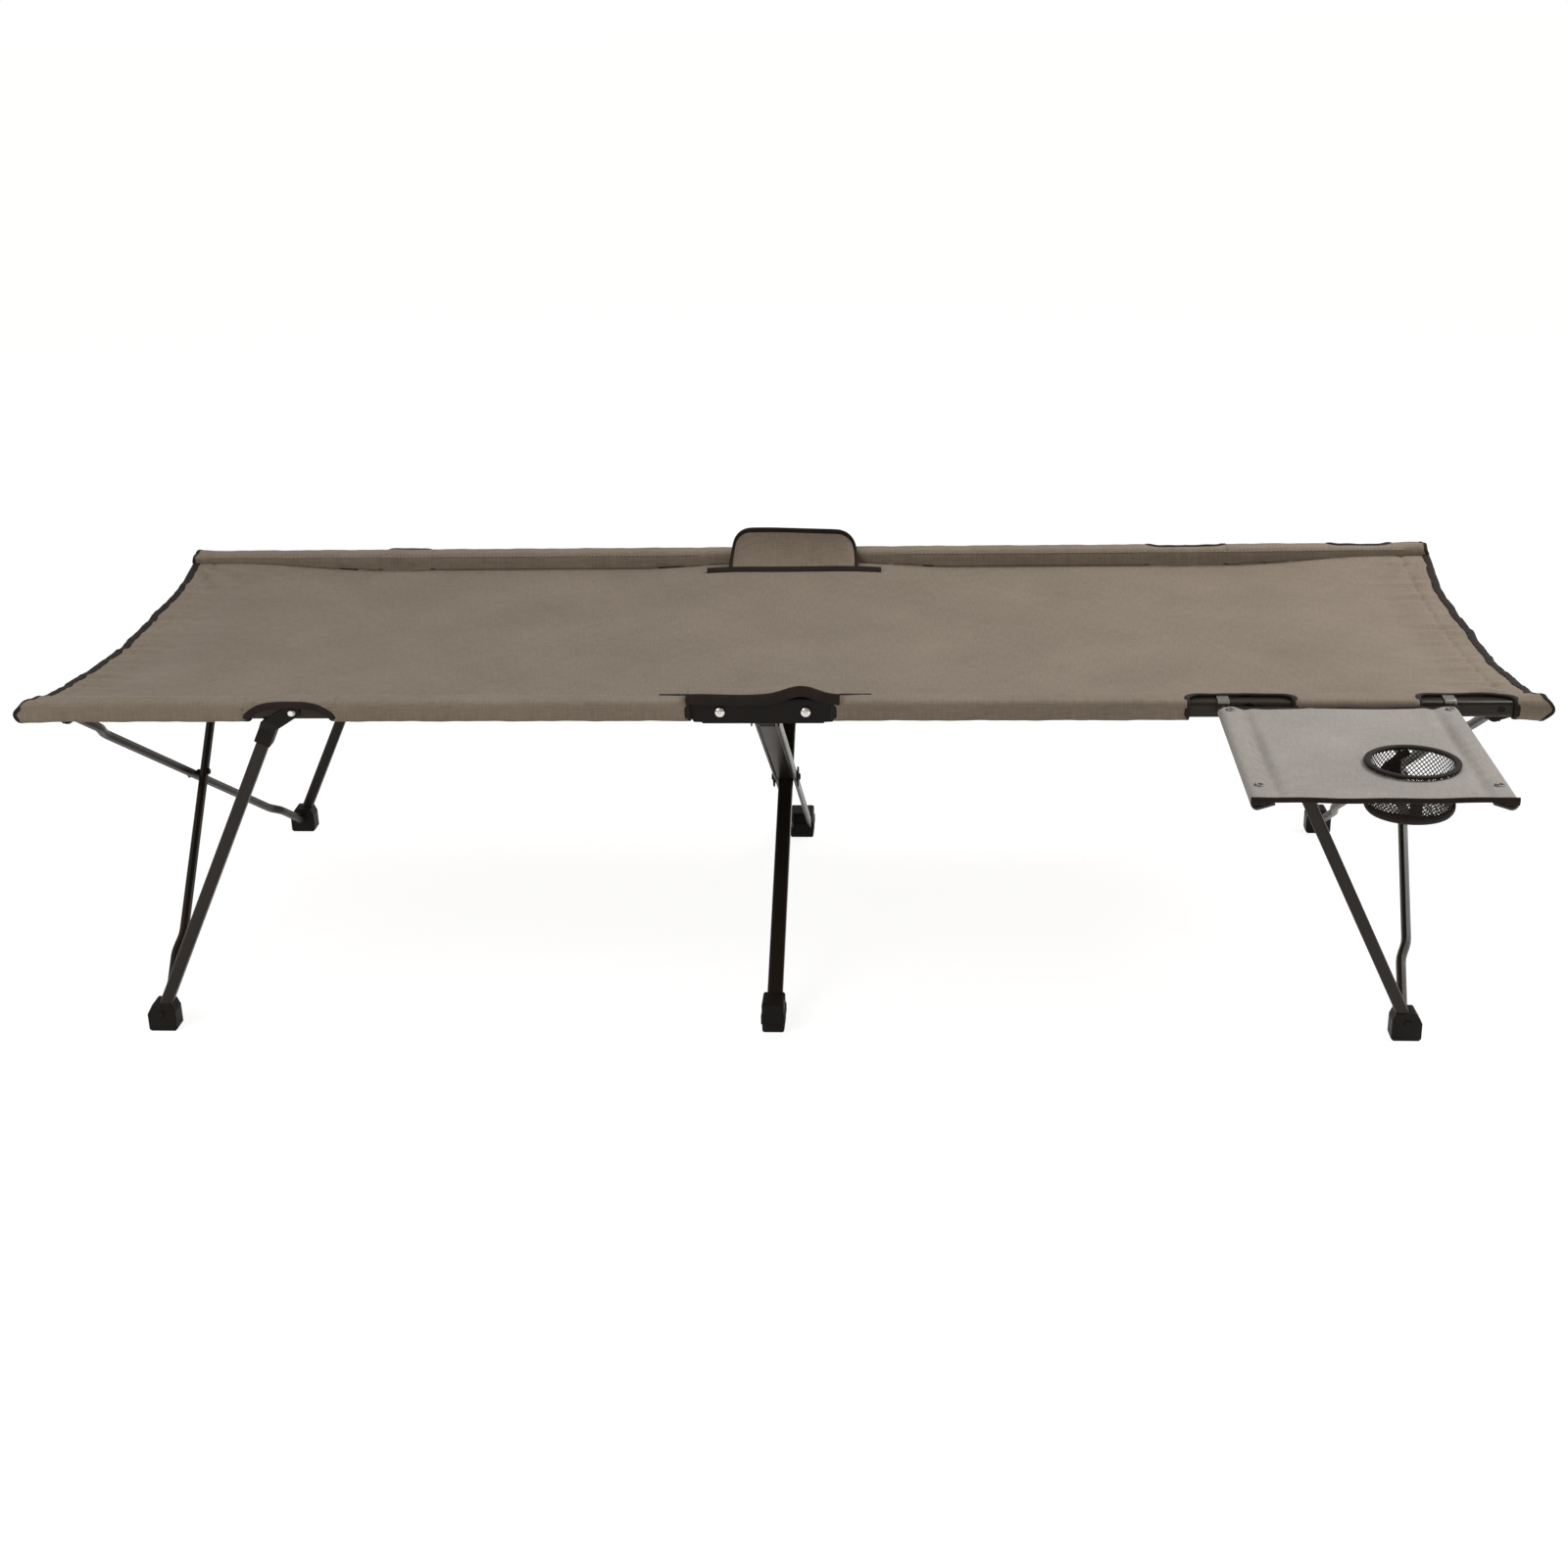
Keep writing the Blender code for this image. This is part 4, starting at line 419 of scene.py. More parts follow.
def sleeve_grids(corner):
    """Grids of one sleeve: whole rings between the notches, and shortened ones across each notch."""
    side_x, side_y = corners[corner]
    inner = inner_end[side_x]
    spans, at = [], -1.0 if side_x < 0 else inner
    for low, high, *cut in notches[corner]:
        spans += [(at, low, None), (low, high, cut)]
        at = high
    spans.append((at, -inner if side_x < 0 else 1.0, None))
    grids = []
    for low, high, cut in spans:
        columns = max(int((high - low) / 0.0055), 6)
        part, share = np.meshgrid(np.linspace(0, 1, columns), np.linspace(0, 0.994, 44), indexing="ij")
        if cut:
            part = (1 - np.cos(part * np.pi)) / 2
            x = low + (high - low) * part
            run = share * notch_depth(x, low, high, *cut)
        else:
            run = share * sleeve_round
            from_x = sleeve_mouth(run, side_x, side_y) if low == -1.0 else low
            to_x = sleeve_mouth(run, side_x, side_y) if high == 1.0 else high
            x = from_x + (to_x - from_x) * part
        skin = sleeve_point(x, run, side_y)
        flat = np.stack([x, run], -1)
        if side_y < 0:
            skin, flat = skin[:, ::-1], flat[:, ::-1]
        grids.append((skin, flat))
    return grids


sleeves = {}
for corner in corners:
    sleeves[corner] = grid_mesh(f"{corner}_sleeve", sleeve_grids(corner), bed_oxford,
                                thickness=cloth_thick, merge=0.0003)
    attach(sleeves[corner], f"{corner}_rail")

# The binding: black-brown woven tape folded over every raw edge and sewn down.
# It edges both ends of the bed, the notches and the mouths of the sleeves, and lies in
# slight waves because it is fed by hand.
tape, tree, shader = new_finish("black_brown_binding_tape", Roughness=0.8, Sheen_Weight=0.03,
                                Sheen_Roughness=0.5, Specular_IOR_Level=0.2)
# The tape's ribs are drawn as a grain of 1.2 mm, and lint and dust lighten it in patches.
rib, lint = noise(tree, 800.0, 1.0), noise(tree, 45.0, 4.0)
wire_finish(tree, shader, lint, "#16110E", "#2A221D", grain=(rib, 0.3, 0.0003))


def unit(vectors):
    """Each vector divided by its length."""
    return vectors / np.maximum(np.linalg.norm(vectors, axis=-1, keepdims=True), 1e-9)


def run_along(points):
    """Distance along a polyline to each of its points."""
    return np.concatenate([[0], np.cumsum(np.linalg.norm(np.diff(points, axis=0), axis=-1))])


def points_at(at, run, points):
    """Points at distances along a polyline whose own points lie at run, by linear interpolation."""
    return np.stack([np.interp(at, run, column) for column in points.T], -1)


def cut_line(points, spacing):
    """Evenly spaced points along a polyline."""
    run = run_along(points)
    return points_at(np.linspace(0, run[-1], max(int(run[-1] / spacing), 4)), run, points)


def tape_grid(path, normals, width, thickness, wave=0.0):
    """A flat tape along a path: its section is a squared-off oval, width across the path in the surface
    and thickness along the surface normal; wave lifts it by a slow sum of two sines."""
    normals = np.asarray(normals, float)
    ahead = unit(np.gradient(path, axis=0))
    normals = unit(normals - ahead * (normals * ahead).sum(-1, keepdims=True))
    across = np.cross(ahead, normals)
    run = run_along(path)
    lift = wave * (np.sin(run * 95) + 0.6 * np.sin(run * 214 + 1.0))
    angle = np.linspace(0, 2 * np.pi, 11)
    out, up = squared(angle, 0.6)
    body = (path[:, None] + across[:, None] * (out * width / 2)[None, :, None]
            + normals[:, None] * ((up * thickness / 2)[None, :] + lift[:, None])[..., None])
    middle = body.mean(1, keepdims=True)
    body = np.concatenate([middle[:1] + 0 * body[:1], body, middle[-1:] + 0 * body[-1:]])
    run = np.concatenate([run[:1], run, run[-1:]])
    flat = np.stack([np.broadcast_to(run[:, None], body.shape[:2]),
                     np.broadcast_to(angle[None] * width / 3, body.shape[:2])], -1)
    return body, flat


def on_sleeve(line, side):
    """Points of the sleeve's skin for a line of (x, run), and the skin's normals there, from the cross
    product of two short steps."""
    skin = sleeve_point(line[:, 0], line[:, 1], side)
    step_x = sleeve_point(line[:, 0] + 0.001, line[:, 1], side) - skin
    step_run = sleeve_point(line[:, 0], line[:, 1] + 0.0006, side) - skin
    normal = unit(np.cross(step_x, step_run)) * side
    return skin, normal


def smooth_line(values, passes=3):
    """Averages each point with its two neighbours, ends kept, a few times."""
    values = values.copy()
    for _ in range(passes):
        values[1:-1] = (values[:-2] + values[1:-1] * 2 + values[2:]) / 4
    return values


def sleeve_tape(line, side, width, thickness, wave=0.0):
    """A tape on the sleeve's skin along a line of (x, run), smoothed where the line turns."""
    skin, normal = on_sleeve(line, side)
    return tape_grid(smooth_line(skin), smooth_line(normal), width, thickness, wave)


def seam_lines(corner, run, clear, count):
    """Skin points and normals along one sleeve at run, count to a stretch, each stretch clear of the
    notches that reach it."""
    side_x, side_y = corners[corner]
    ends = (-0.905, -0.150) if side_x < 0 else (0.150, 0.905)
    stops = [n for n in notches[corner] if n[2] < run + 0.004]
    lows = [ends[0], *[n[1] + clear for n in stops]]
    highs = [*[n[0] - clear for n in stops], ends[1]]
    for low, high in zip(lows, highs):
        if high - low > 0.02:
            x = np.linspace(low, high, count)
            yield on_sleeve(np.stack([x, 0 * x + run], -1), side_y)


welt_run = {-1: sleeve_run(out=-0.0112), 1: 0.0090}
for corner, (side_x, side_y) in corners.items():
    grids = []
    for low, high, run, radius, far_radius in notches[corner]:
        x = low + (high - low) * (1 - np.cos(np.linspace(0, np.pi, 60))) / 2
        top = notch_depth(x, low, high, run, radius, far_radius)
        sides = []
        for side_at, reach in ((low, radius), (high, far_radius)):
            drop = np.linspace(sleeve_round - 0.004, run + min(reach, notch_deep), 14)[:-1]
            sides.append(np.stack([side_at + 0 * drop, drop], -1))
        line = np.concatenate([sides[0], np.stack([x, top], -1), sides[1][::-1]])
        if radius > 0.03:
            wide, deep = 0.0095, 0.0032
        else:
            wide, deep = (0.0072, 0.0032) if side_y < 0 else (0.0090, 0.0046)
        grids.append(sleeve_tape(cut_line(line, 0.003), side_y, wide, deep, wave=0.0002))
    end_run = np.linspace(0.002, sleeve_round - 0.002, 46)
    mouth = np.stack([sleeve_mouth(end_run, side_x, side_y), end_run], -1)
    grids.append(sleeve_tape(mouth, side_y, 0.0056, 0.0034, wave=0.0002))
    inner_run = np.linspace(0.004, sleeve_round - 0.004, 40)
    inner = np.stack([side_x * inner_end[side_x] + 0 * inner_run, inner_run], -1)
    grids.append(sleeve_tape(inner, side_y, 0.0078, 0.0030))
    piece = grid_mesh(f"{corner}_sleeve_binding", grids, tape)
    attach(piece, f"{corner}_rail")
    # The seam allowance is folded under and topstitched, a welt 1 mm proud that catches the light.
    strips = [tape_grid(skin, normal, 0.0034, 0.0022, wave=0.00015)
              for skin, normal in seam_lines(corner, welt_run[side_y], 0.004, 150)]
    welt = grid_mesh(f"{corner}_seam_welt", strips, bed_oxford)
    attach(welt, f"{corner}_rail")

for side, label in ((-1, "left"), (1, "right")):
    across = np.linspace(-1, 1, 190)
    x = bed_end(across, side)
    z = bed_level(x, across)
    path = np.stack([x - side * 0.0036, bed_middle + across * bed_half, z - 0.0002], -1)
    slope = np.gradient(z, path[:, 1])
    normal = unit(np.stack([0 * z, -slope, 1 + 0 * z], -1))
    piece = grid_mesh(f"bed_{label}_end_binding",
                      [tape_grid(path, normal, 0.0126, 0.0046, wave=0.00035)], tape)
    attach(piece, f"near_{label}_rail")
    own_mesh(piece)

# The flaps: two tabs of bed cloth with bound edges, that cover the centre brackets.
# The far one stands up behind the bed from a band of black tape, and the near one lies over
# its bracket with a wavy edge.
far_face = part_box("far_flap")[0].y - cloth_thick
flap_base, flap_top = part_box("far_flap")[0].z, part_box("far_flap")[1].z
flap_half = 0.0935
band_out = rail_line - 0.0500
foot_level = float(bed_level(np.array([0.0]), np.array([band_out / bed_half]))[0]) + 0.0012
foot_back = far_face - (bed_middle + band_out)


def far_flap_point(part, height):
    """The tab at part, from -1 left to +1 right, and height, from 0 to 1: its sides close in towards the
    top as a quarter oval, its top falls to the right, and it leans and bulges slightly."""
    shoulder = np.clip((np.abs(part) - 0.74) / 0.26, 0, 1)
    crown = 1 - 0.62 * (1 - np.sqrt(1 - shoulder ** 2 * 0.985))
    top = (flap_top - 0.0012 - 0.0045 * (part > -0.4) * (part + 0.4) / 1.4) - flap_base
    x = flap_half * part * (1 - 0.05 * height) - 0.003
    z = flap_base - (flap_base - foot_level) * (1 - height) ** 2 + top * height * crown
    y = (far_face - 0.0012 * np.sin(np.pi * height) * np.cos(part * 1.4) + 0.0035 * height ** 2
         - foot_back * (1 - height) ** 2.4)
    return np.stack([x, y + 0 * x, z], -1)


part, height = np.meshgrid(np.linspace(-1, 1, 60), np.linspace(0, 1, 20), indexing="ij")
flat = np.stack([part * flap_half, height * 0.06], -1)
far_tab = grid_mesh("far_flap_cloth", [(far_flap_point(part, height), flat)], bed_oxford, thickness=0.0010)
edge_part = np.concatenate([np.full(16, -1.0), np.linspace(-1, 1, 90)[1:-1], np.full(16, 1.0)])
edge_height = np.concatenate([np.linspace(0, 1, 16), np.ones(88), np.linspace(1, 0, 16)])
border = cut_line(far_flap_point(edge_part, edge_height), 0.0035)
band_x = np.linspace(-0.133, 0.129, 60)
band_side = band_out + 0.0003 * np.sin(band_x * 40)
band_z = bed_level(band_x, band_side / bed_half) + 0.0026
band = np.stack([band_x, bed_middle + band_side, band_z], -1)
far_edge = grid_mesh("far_flap_binding", [tape_grid(smooth_line(border), (0, -1, 0), 0.0102, 0.0032),
                                          tape_grid(band, (0, -0.7, 0.7), 0.0122, 0.0034)], tape)
for piece, name in ((far_tab, "bed_cloth"), (far_edge, "binding")):
    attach(piece, "far_bracket")
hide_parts("far_flap")

near_low, near_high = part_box("near_flap")


def near_flap_point(part, across):
    """The tab at part, 0 left to 1 right, and across, 0 at the bed to 1 at the front: flat over the
    bracket, with a hump right of the middle and a slow wave, both growing towards the front."""
    x = near_low.x + (near_high.x - near_low.x) * part
    rise = 0.0105 * hump(x, 0.048, 0.026) + 0.0006 * np.sin(x * 60)
    y = near_high.y + (near_low.y - near_high.y) * across
    z = near_low.z + 0.0011 + rise * ease(across, 0.2, 1.0)
    return np.stack([x, y, z], -1)


part, across = np.meshgrid(np.linspace(0, 1, 64), np.linspace(0, 1, 12), indexing="ij")
skin, flat = near_flap_point(part, across), np.stack([part * 0.18, across * 0.03], -1)
near_tab = grid_mesh("near_flap_cloth", [(skin[:, ::-1], flat[:, ::-1])], bed_oxford, thickness=cloth_thick)
front = near_flap_point(np.linspace(0, 1, 70), np.ones(70)) - (0, 0.0008, 0.0030)
near_rows = [tape_grid(front, (0, -0.92, 0.38), 0.0135, 0.0026, wave=0.0003)]
for start, end in ((-0.130, -0.090), (0.090, 0.132)):
    run_x = np.linspace(start, end, 14)
    path = np.stack([run_x, bed_middle - rail_line + 0.0135 + 0 * run_x, rail_level + 0.0122 + 0 * run_x], -1)
    near_rows.append(tape_grid(path, (0, 0, 1), 0.0050, 0.0022))
near_edge = grid_mesh("near_flap_binding", near_rows, tape)
for piece, name in ((near_tab, "bed_cloth"), (near_edge, "binding")):
    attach(piece, "near_bracket")
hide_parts("near_flap")

# The stitches: polyester thread along every seam, two rows at each sleeve and hem.
# Each stitch is a short rounded bead of thread that sinks into the cloth at both ends.
# The thread is drawn paler than the cloth. This is partly its own tone and partly a painted highlight for the
# light that catches each raised seam.
thread, tree, shader = new_finish("polyester_sewing_thread", Roughness=0.7, Sheen_Weight=0.1)
wire_finish(tree, shader, noise(tree, 500.0), "#877C70", "#A69B8E")


def round_grids(paths, side, up, radius, count):
    """Round bodies along paths (paths, steps, xyz): count points at a radius in the plane of side and up."""
    ring = np.linspace(0, 2 * np.pi, count)[None, None, :, None]
    body = paths[:, :, None] + radius * (side[:, :, None] * np.cos(ring) + up[:, :, None] * np.sin(ring))
    return [(one, np.zeros((*one.shape[:2], 2))) for one in body]


def stitch_grids(path, normals, length=0.0046, gap=0.0016, radius=0.0006):
    """Beads along a path, one every length + gap: each is a lens whose radius follows a half sine."""
    run = run_along(path)
    starts = np.arange(0, run[-1] - length, length + gap)
    along = np.linspace(0, 1, 4)
    at = starts[:, None] + along[None] * length
    spot = points_at(at, run, path)
    up = unit(points_at(at, run, np.broadcast_to(normals, path.shape)))
    ahead = unit(np.broadcast_to(spot[:, -1:] - spot[:, :1], spot.shape))
    swell = radius * (0.25 + 0.75 * np.sin(np.pi * along))[None, :, None, None]
    return round_grids(spot, np.cross(ahead, up), up, swell, 7)


second_run = {-1: down_wall, 1: 0.0040}
for corner, (_, side_y) in corners.items():
    rows = []
    for run, proud in ((welt_run[side_y], 0.0011), (second_run[side_y], 0.0)):
        for skin, normal in seam_lines(corner, run, 0.006, 200):
            rows += stitch_grids(skin + normal * proud, normal)
    piece = grid_mesh(f"{corner}_seam_stitches", rows, thread)
    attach(piece, f"{corner}_rail")

for side, label in ((-1, "left"), (1, "right")):
    rows = []
    for inset in (0.0095, 0.0300):
        across = np.linspace(-0.97, 0.97, 240)
        x = bed_end(across, side) - side * inset
        z = bed_level(x, across)
        path = np.stack([x, bed_middle + across * bed_half, z + 0.0001], -1)
        rows += stitch_grids(path, (0.0, 0.0, 1.0))
    piece = grid_mesh(f"bed_{label}_hem_stitches", rows, thread)
    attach(piece, f"near_{label}_rail")
    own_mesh(piece)

# The table's cloth: a cooler grey oxford panel with a sewn tunnel along each side.
# The tunnels slide over the two hooked arms, the panel is pulled flat between them, and a
# bound round hole in it carries the cup pocket.
table_oxford = woven_cloth("grey_polyester_oxford", "#847F7A", "#9E9994", 0.10)
table_low, table_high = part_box("table_cloth")
arm_left = sum(v.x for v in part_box("table_arm_left")) / 2
arm_right = sum(v.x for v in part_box("table_arm_right")) / 2
rim_low, rim_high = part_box("cup_rim")
cup_x, cup_y = (rim_low.x + rim_high.x) / 2, (rim_low.y + rim_high.y) / 2
cup_radius = (rim_high.x - rim_low.x) / 2 - 0.006
tunnel = 0.0078


def table_section():
    """(x, height over the arms) along the cut: from the tunnel seam under the left arm, round it, over
    the panel, which sinks a little from the tunnels inward, and round the right arm to its seam."""
    bend = np.linspace(-np.pi / 2, -3 * np.pi / 2, 26)
    left = np.stack([arm_left + tunnel * np.cos(bend), tunnel * np.sin(bend)], -1)
    middle = (arm_left + arm_right) / 2
    start = np.linspace((arm_left + 0.019, -0.0016), (arm_left, -tunnel), 6)[:-1]
    half_x = np.linspace(arm_left, middle, 44)[1:]
    inboard = half_x - arm_left
    level = tunnel - 0.0022 * ease(inboard, 0.004, 0.05) - 0.0008 * ease(inboard, 0.05, 0.13)
    flat = np.stack([half_x, level], -1)
    half = np.concatenate([start, left, flat])
    other = half[::-1][1:] * (-1, 1) + (arm_left + arm_right, 0)
    return np.concatenate([half, other])


def beside_tunnels(x, inset, width):
    """Two humps over x, one inset from each arm."""
    return hump(x - arm_left, inset, width) + hump(x - arm_right, -inset, width)


section = cut_line(table_section(), 0.0026)
section_run = np.concatenate([[0], np.cumsum(np.hypot(*np.diff(section, axis=0).T))])
back, front_edge = table_high.y - 0.0005, table_low.y + 0.0005
depth = np.linspace(0, 1, 116)
run_grid, depth_grid = np.meshgrid(section_run, depth, indexing="ij")
x = np.broadcast_to(section[:, :1], run_grid.shape).copy()
y = back + (front_edge - back) * depth_grid
top = section[:, 1:] + 0 * run_grid
on_panel = top > 0.002
inside = ease(x, arm_left + 0.012, arm_left + 0.05) * (1 - ease(x, arm_right - 0.05, arm_right - 0.012))
slant = (x * 0.8 - y * 0.6) * 55 + 1.0
crease = (0.0034 * np.sin(slant) * hump(y, back, 0.12) * ease(back - y, 0.004, 0.070)
          + 0.0007 * np.sin((x + y * 0.9) * 43) + 0.0006 * np.sin(y * 33 + 2.2))
ruck = 0.0005 * np.sin(y * 210 + 3 * np.sin(y * 31)) * beside_tunnels(x, 0.018, 0.010)
# A valley runs beside each tunnel, pulled down by the tunnel's seam and flatter at the hems.
valley = 0.0078 * beside_tunnels(x, 0.0225, 0.0072)
valley = valley * (0.25 + 0.75 * np.sin(np.pi * depth_grid) ** 0.7)
z = rail_level + top + (crease * inside + ruck - valley) * on_panel
radial = np.hypot(x - cup_x, y - cup_y)
spoke = np.where(np.abs(radial - cup_radius) < 0.0021, cup_radius / np.maximum(radial, 1e-6), 1.0)
x = np.where(on_panel, cup_x + (x - cup_x) * spoke, x)
y = np.where(on_panel, cup_y + (y - cup_y) * spoke, y)
flatten = np.exp(-np.clip(radial - cup_radius, 0, 1) / 0.018)
z = np.where(on_panel, z + (rail_level + 0.0050 - z) * flatten, z)
skin, flat = np.stack([x, y, z], -1), np.stack([run_grid, depth_grid * 0.297], -1)
table_top = grid_mesh("table_top_cloth", [(skin, flat)], table_oxford, thickness=cloth_thick)
bm = bmesh.new()
bm.from_mesh(table_top.data)
held_faces = np.array([(f.calc_center_median() - Vector((cup_x, cup_y, 0)))[:2] for f in bm.faces])
low_face = np.array([f.calc_center_median().z for f in bm.faces]) < rail_level + 0.001
gone = (np.hypot(*held_faces.T) < cup_radius - 0.0004) & ~low_face
bmesh.ops.delete(bm, geom=[f for f, drop in zip(bm.faces, gone) if drop], context="FACES")
bm.to_mesh(table_top.data)
bm.free()

grids = []
span = np.linspace(arm_left - tunnel, arm_right + tunnel, 80)
for edge_y, drop, facing, width in ((back + 0.0012, 0.0016, (0, 0.3, 0.95), 0.0082),
                                    (front_edge - 0.0014, 0.0022, (0, -0.95, 0.30), 0.0060)):
    bow = 0.0016 * np.sin(np.pi * (span - span[0]) / (span[-1] - span[0])) + 0.0004 * np.sin(span * 70)
    path = np.stack([span, edge_y + 0 * span, rail_level + tunnel - drop - bow], -1)
    grids.append(tape_grid(path, facing, width, 0.0030, wave=0.0003))
for arm in (arm_left, arm_right):
    fold = np.linspace(arm - tunnel, arm + tunnel, 8)
    path = np.stack([fold, front_edge - 0.0012 + 0 * fold, rail_level + 0.0030 + 0 * fold], -1)
    grids.append(tape_grid(path, (0, -1, 0), 0.0088, 0.0026))
table_binding = grid_mesh("table_binding", grids, tape)

# The table's eyelets: four small rolled brass rings, pressed through the cloth at the corners.
# They are darkened, and handling has stained them unevenly.
eyelet_metal, tree, shader = new_finish("darkened_brass", Metallic=1.0, Roughness=0.34)
wire_finish(tree, shader, noise(tree, 180.0), "#4A4541", "#8B857E")


def ring_grid(centre, radius, width, height, squareness=1.0, around=40, sides=12):
    """A ring in the plane z = constant: an oval section of width and height carried round a circle."""
    go, spin = np.meshgrid(np.linspace(0, 2 * np.pi, around + 1), np.linspace(0, 2 * np.pi, sides + 1),
                           indexing="ij")
    out, up = squared(spin, squareness)
    reach = radius + width / 2 * out
    place_grid = np.stack([centre[0] + reach * np.cos(go), centre[1] + reach * np.sin(go),
                           centre[2] + height / 2 * up], -1)
    return place_grid, np.stack([go * radius, spin * width / 3], -1)


spots = [(arm_left + 0.0050, back - 0.011), (arm_right - 0.0050, back - 0.011),
         (arm_left + 0.0055, front_edge + 0.036), (arm_right - 0.0055, front_edge + 0.036)]
rings = [ring_grid((sx, sy, rail_level + tunnel + 0.0002), 0.0040, 0.0030, 0.0016) for sx, sy in spots]
eyelets = grid_mesh("table_eyelets", rings, eyelet_metal, merge=0.00001)

# The cup rim: binding tape rolled over the edge of the hole and sewn, so it stands proud.
# The pocket below it is a round net of black-brown thread on a padded bottom ring, held by
# a webbing strap that runs down the front, under the cup and up the back.
rim_centre = (cup_x, cup_y, (rim_low.z + rim_high.z) / 2 - 0.0006)
rim = grid_mesh("cup_rim_binding", [ring_grid(rim_centre, cup_radius - 0.0008, 0.0080, 0.0036, 0.7, 72, 14)],
                tape, merge=0.00001)
pocket_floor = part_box("cup_pocket")[0].z + 0.0012
net_top, net_low = rail_level + 0.0062, pocket_floor + 0.0085
net_radius = cup_radius - 0.0016


def pocket_reach(z):
    """Radius of the pocket at height z: it narrows a little to its bottom ring and bellies between."""
    share = (net_top - z) / (net_top - net_low)
    return net_radius - 0.0022 * share + 0.0010 * np.sin(np.pi * share)


def round_cup(reach, angle, level):
    """Points at a reach from the cup's axis, an angle round it and a level."""
    return np.stack([cup_x + reach * np.cos(angle), cup_y + reach * np.sin(angle), level + 0 * reach], -1)


def thread_grids(paths, radius):
    """Round threads along paths (paths, steps, xyz): a ring of that radius square to each step."""
    ahead = unit(np.gradient(paths, axis=1))
    helper = np.where(np.abs(ahead[..., 2:]) > 0.9, np.array([1.0, 0, 0]), np.array([0, 0, 1.0]))
    side = unit(np.cross(ahead, helper))
    return round_grids(paths, side, np.cross(side, ahead), radius, 6)


# The net's cells are 5.2 mm wide; its threads, 0.6 mm in life, are drawn at 1.3 mm so that they show.
threads_round, steps = 58, 22
share = np.linspace(0, 1, steps)[None]
first = np.linspace(0, 2 * np.pi, threads_round, endpoint=False)[:, None]
wall_z = net_top + (net_low - net_top) * share + 0 * first
cords = []
for way in (-1, 1):
    angle = first + way * share * 2 * np.pi * 8 / threads_round
    cords.append(round_cup(pocket_reach(wall_z) + way * 0.0003, angle, wall_z))
floor_radius = pocket_reach(net_low) - 0.001
lines = np.arange(-8, 9) * 0.0054
chord = np.sqrt(np.maximum(floor_radius ** 2 - lines ** 2, 1e-6))[:, None]
slide = np.linspace(-1, 1, 8)[None]
for tilt in (np.pi / 4, -np.pi / 4):
    u, v = chord * slide, lines[:, None] + 0 * slide
    across_x, across_y = u * np.cos(tilt) - v * np.sin(tilt), u * np.sin(tilt) + v * np.cos(tilt)
    cords.append(np.stack([cup_x + across_x, cup_y + across_y, pocket_floor + 0.0025 + 0 * u], -1))
net_thread, tree, shader = new_finish("knitted_net_thread", Roughness=0.75, Sheen_Weight=0.1)
wire_finish(tree, shader, noise(tree, 300.0), "#221B17", "#3A302A")
net = grid_mesh("cup_net", [grid for group in cords for grid in thread_grids(group, 0.00065)], net_thread)

go, lift = np.meshgrid(np.linspace(0, 2 * np.pi, 73), np.linspace(0, 1, 10), indexing="ij")
ring_z = pocket_floor + lift * 0.0100 + 0.0008 * np.sin(3 * go + 1) * lift
reach = pocket_reach(net_low) + 0.0014 + 0.0010 * np.sin(np.pi * lift) - 0.0020 * (1 - lift) ** 3
band_grid = (round_cup(reach, go, ring_z), np.stack([go * 0.047, lift * 0.0100], -1))
bottom_ring = grid_mesh("cup_bottom_ring", [band_grid], tape, thickness=0.0018, merge=0.00001)

wall = np.linspace(net_top - 0.001, pocket_floor + 0.006, 14)
strap_reach = pocket_reach(np.clip(wall, net_low, net_top)) + 0.0024


def wall_point(turn_at, level, inset):
    """Point of the pocket's wall at an angle and a height, inset from the strap's outer radius."""
    return round_cup(np.interp(-level, -wall, strap_reach) - inset, turn_at, level)


front_at, back_at = -1.64, 1.77
under = np.linspace(wall_point(front_at, wall[-1], 0.002), wall_point(back_at, wall[-1], 0.002), 16)
under[:, 2] = pocket_floor - 0.0006
up_back = np.linspace(wall[-1], rail_level - 0.0050, 14)
main_strap = np.concatenate([wall_point(front_at, wall, 0.0), under[1:-1],
                             wall_point(back_at, up_back, 0.0042)])
rise = np.linspace(0, 1, 24)
cross_strap = wall_point(2.48 - 1.02 * rise, rail_level - 0.0240 + 0.0290 * rise, 0.0064)
straps = []
for points, width in ((main_strap, 0.0140), (cross_strap, 0.0115)):
    path = smooth_line(cut_line(points, 0.003), 4)
    straps.append(tape_grid(path, unit(path - np.array([cup_x, cup_y, pocket_floor + 0.03])), width, 0.0016))
webbing = grid_mesh("cup_strap", straps, tape)
for piece, name in ((table_top, "table_cloth"), (table_binding, "binding"), (eyelets, "bright_hardware"),
                    (rim, "binding"), (net, "mesh_net"), (bottom_ring, "binding"), (webbing, "binding")):
    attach(piece, "table")
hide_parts("table_cloth")
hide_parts("cup_rim")
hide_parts("cup_pocket")

# The hinges' screw heads: domed, cross-recessed, zinc-plated.
# Each sits on its bracket's face; the recess is pressed 1.3 mm deep with sloping walls.


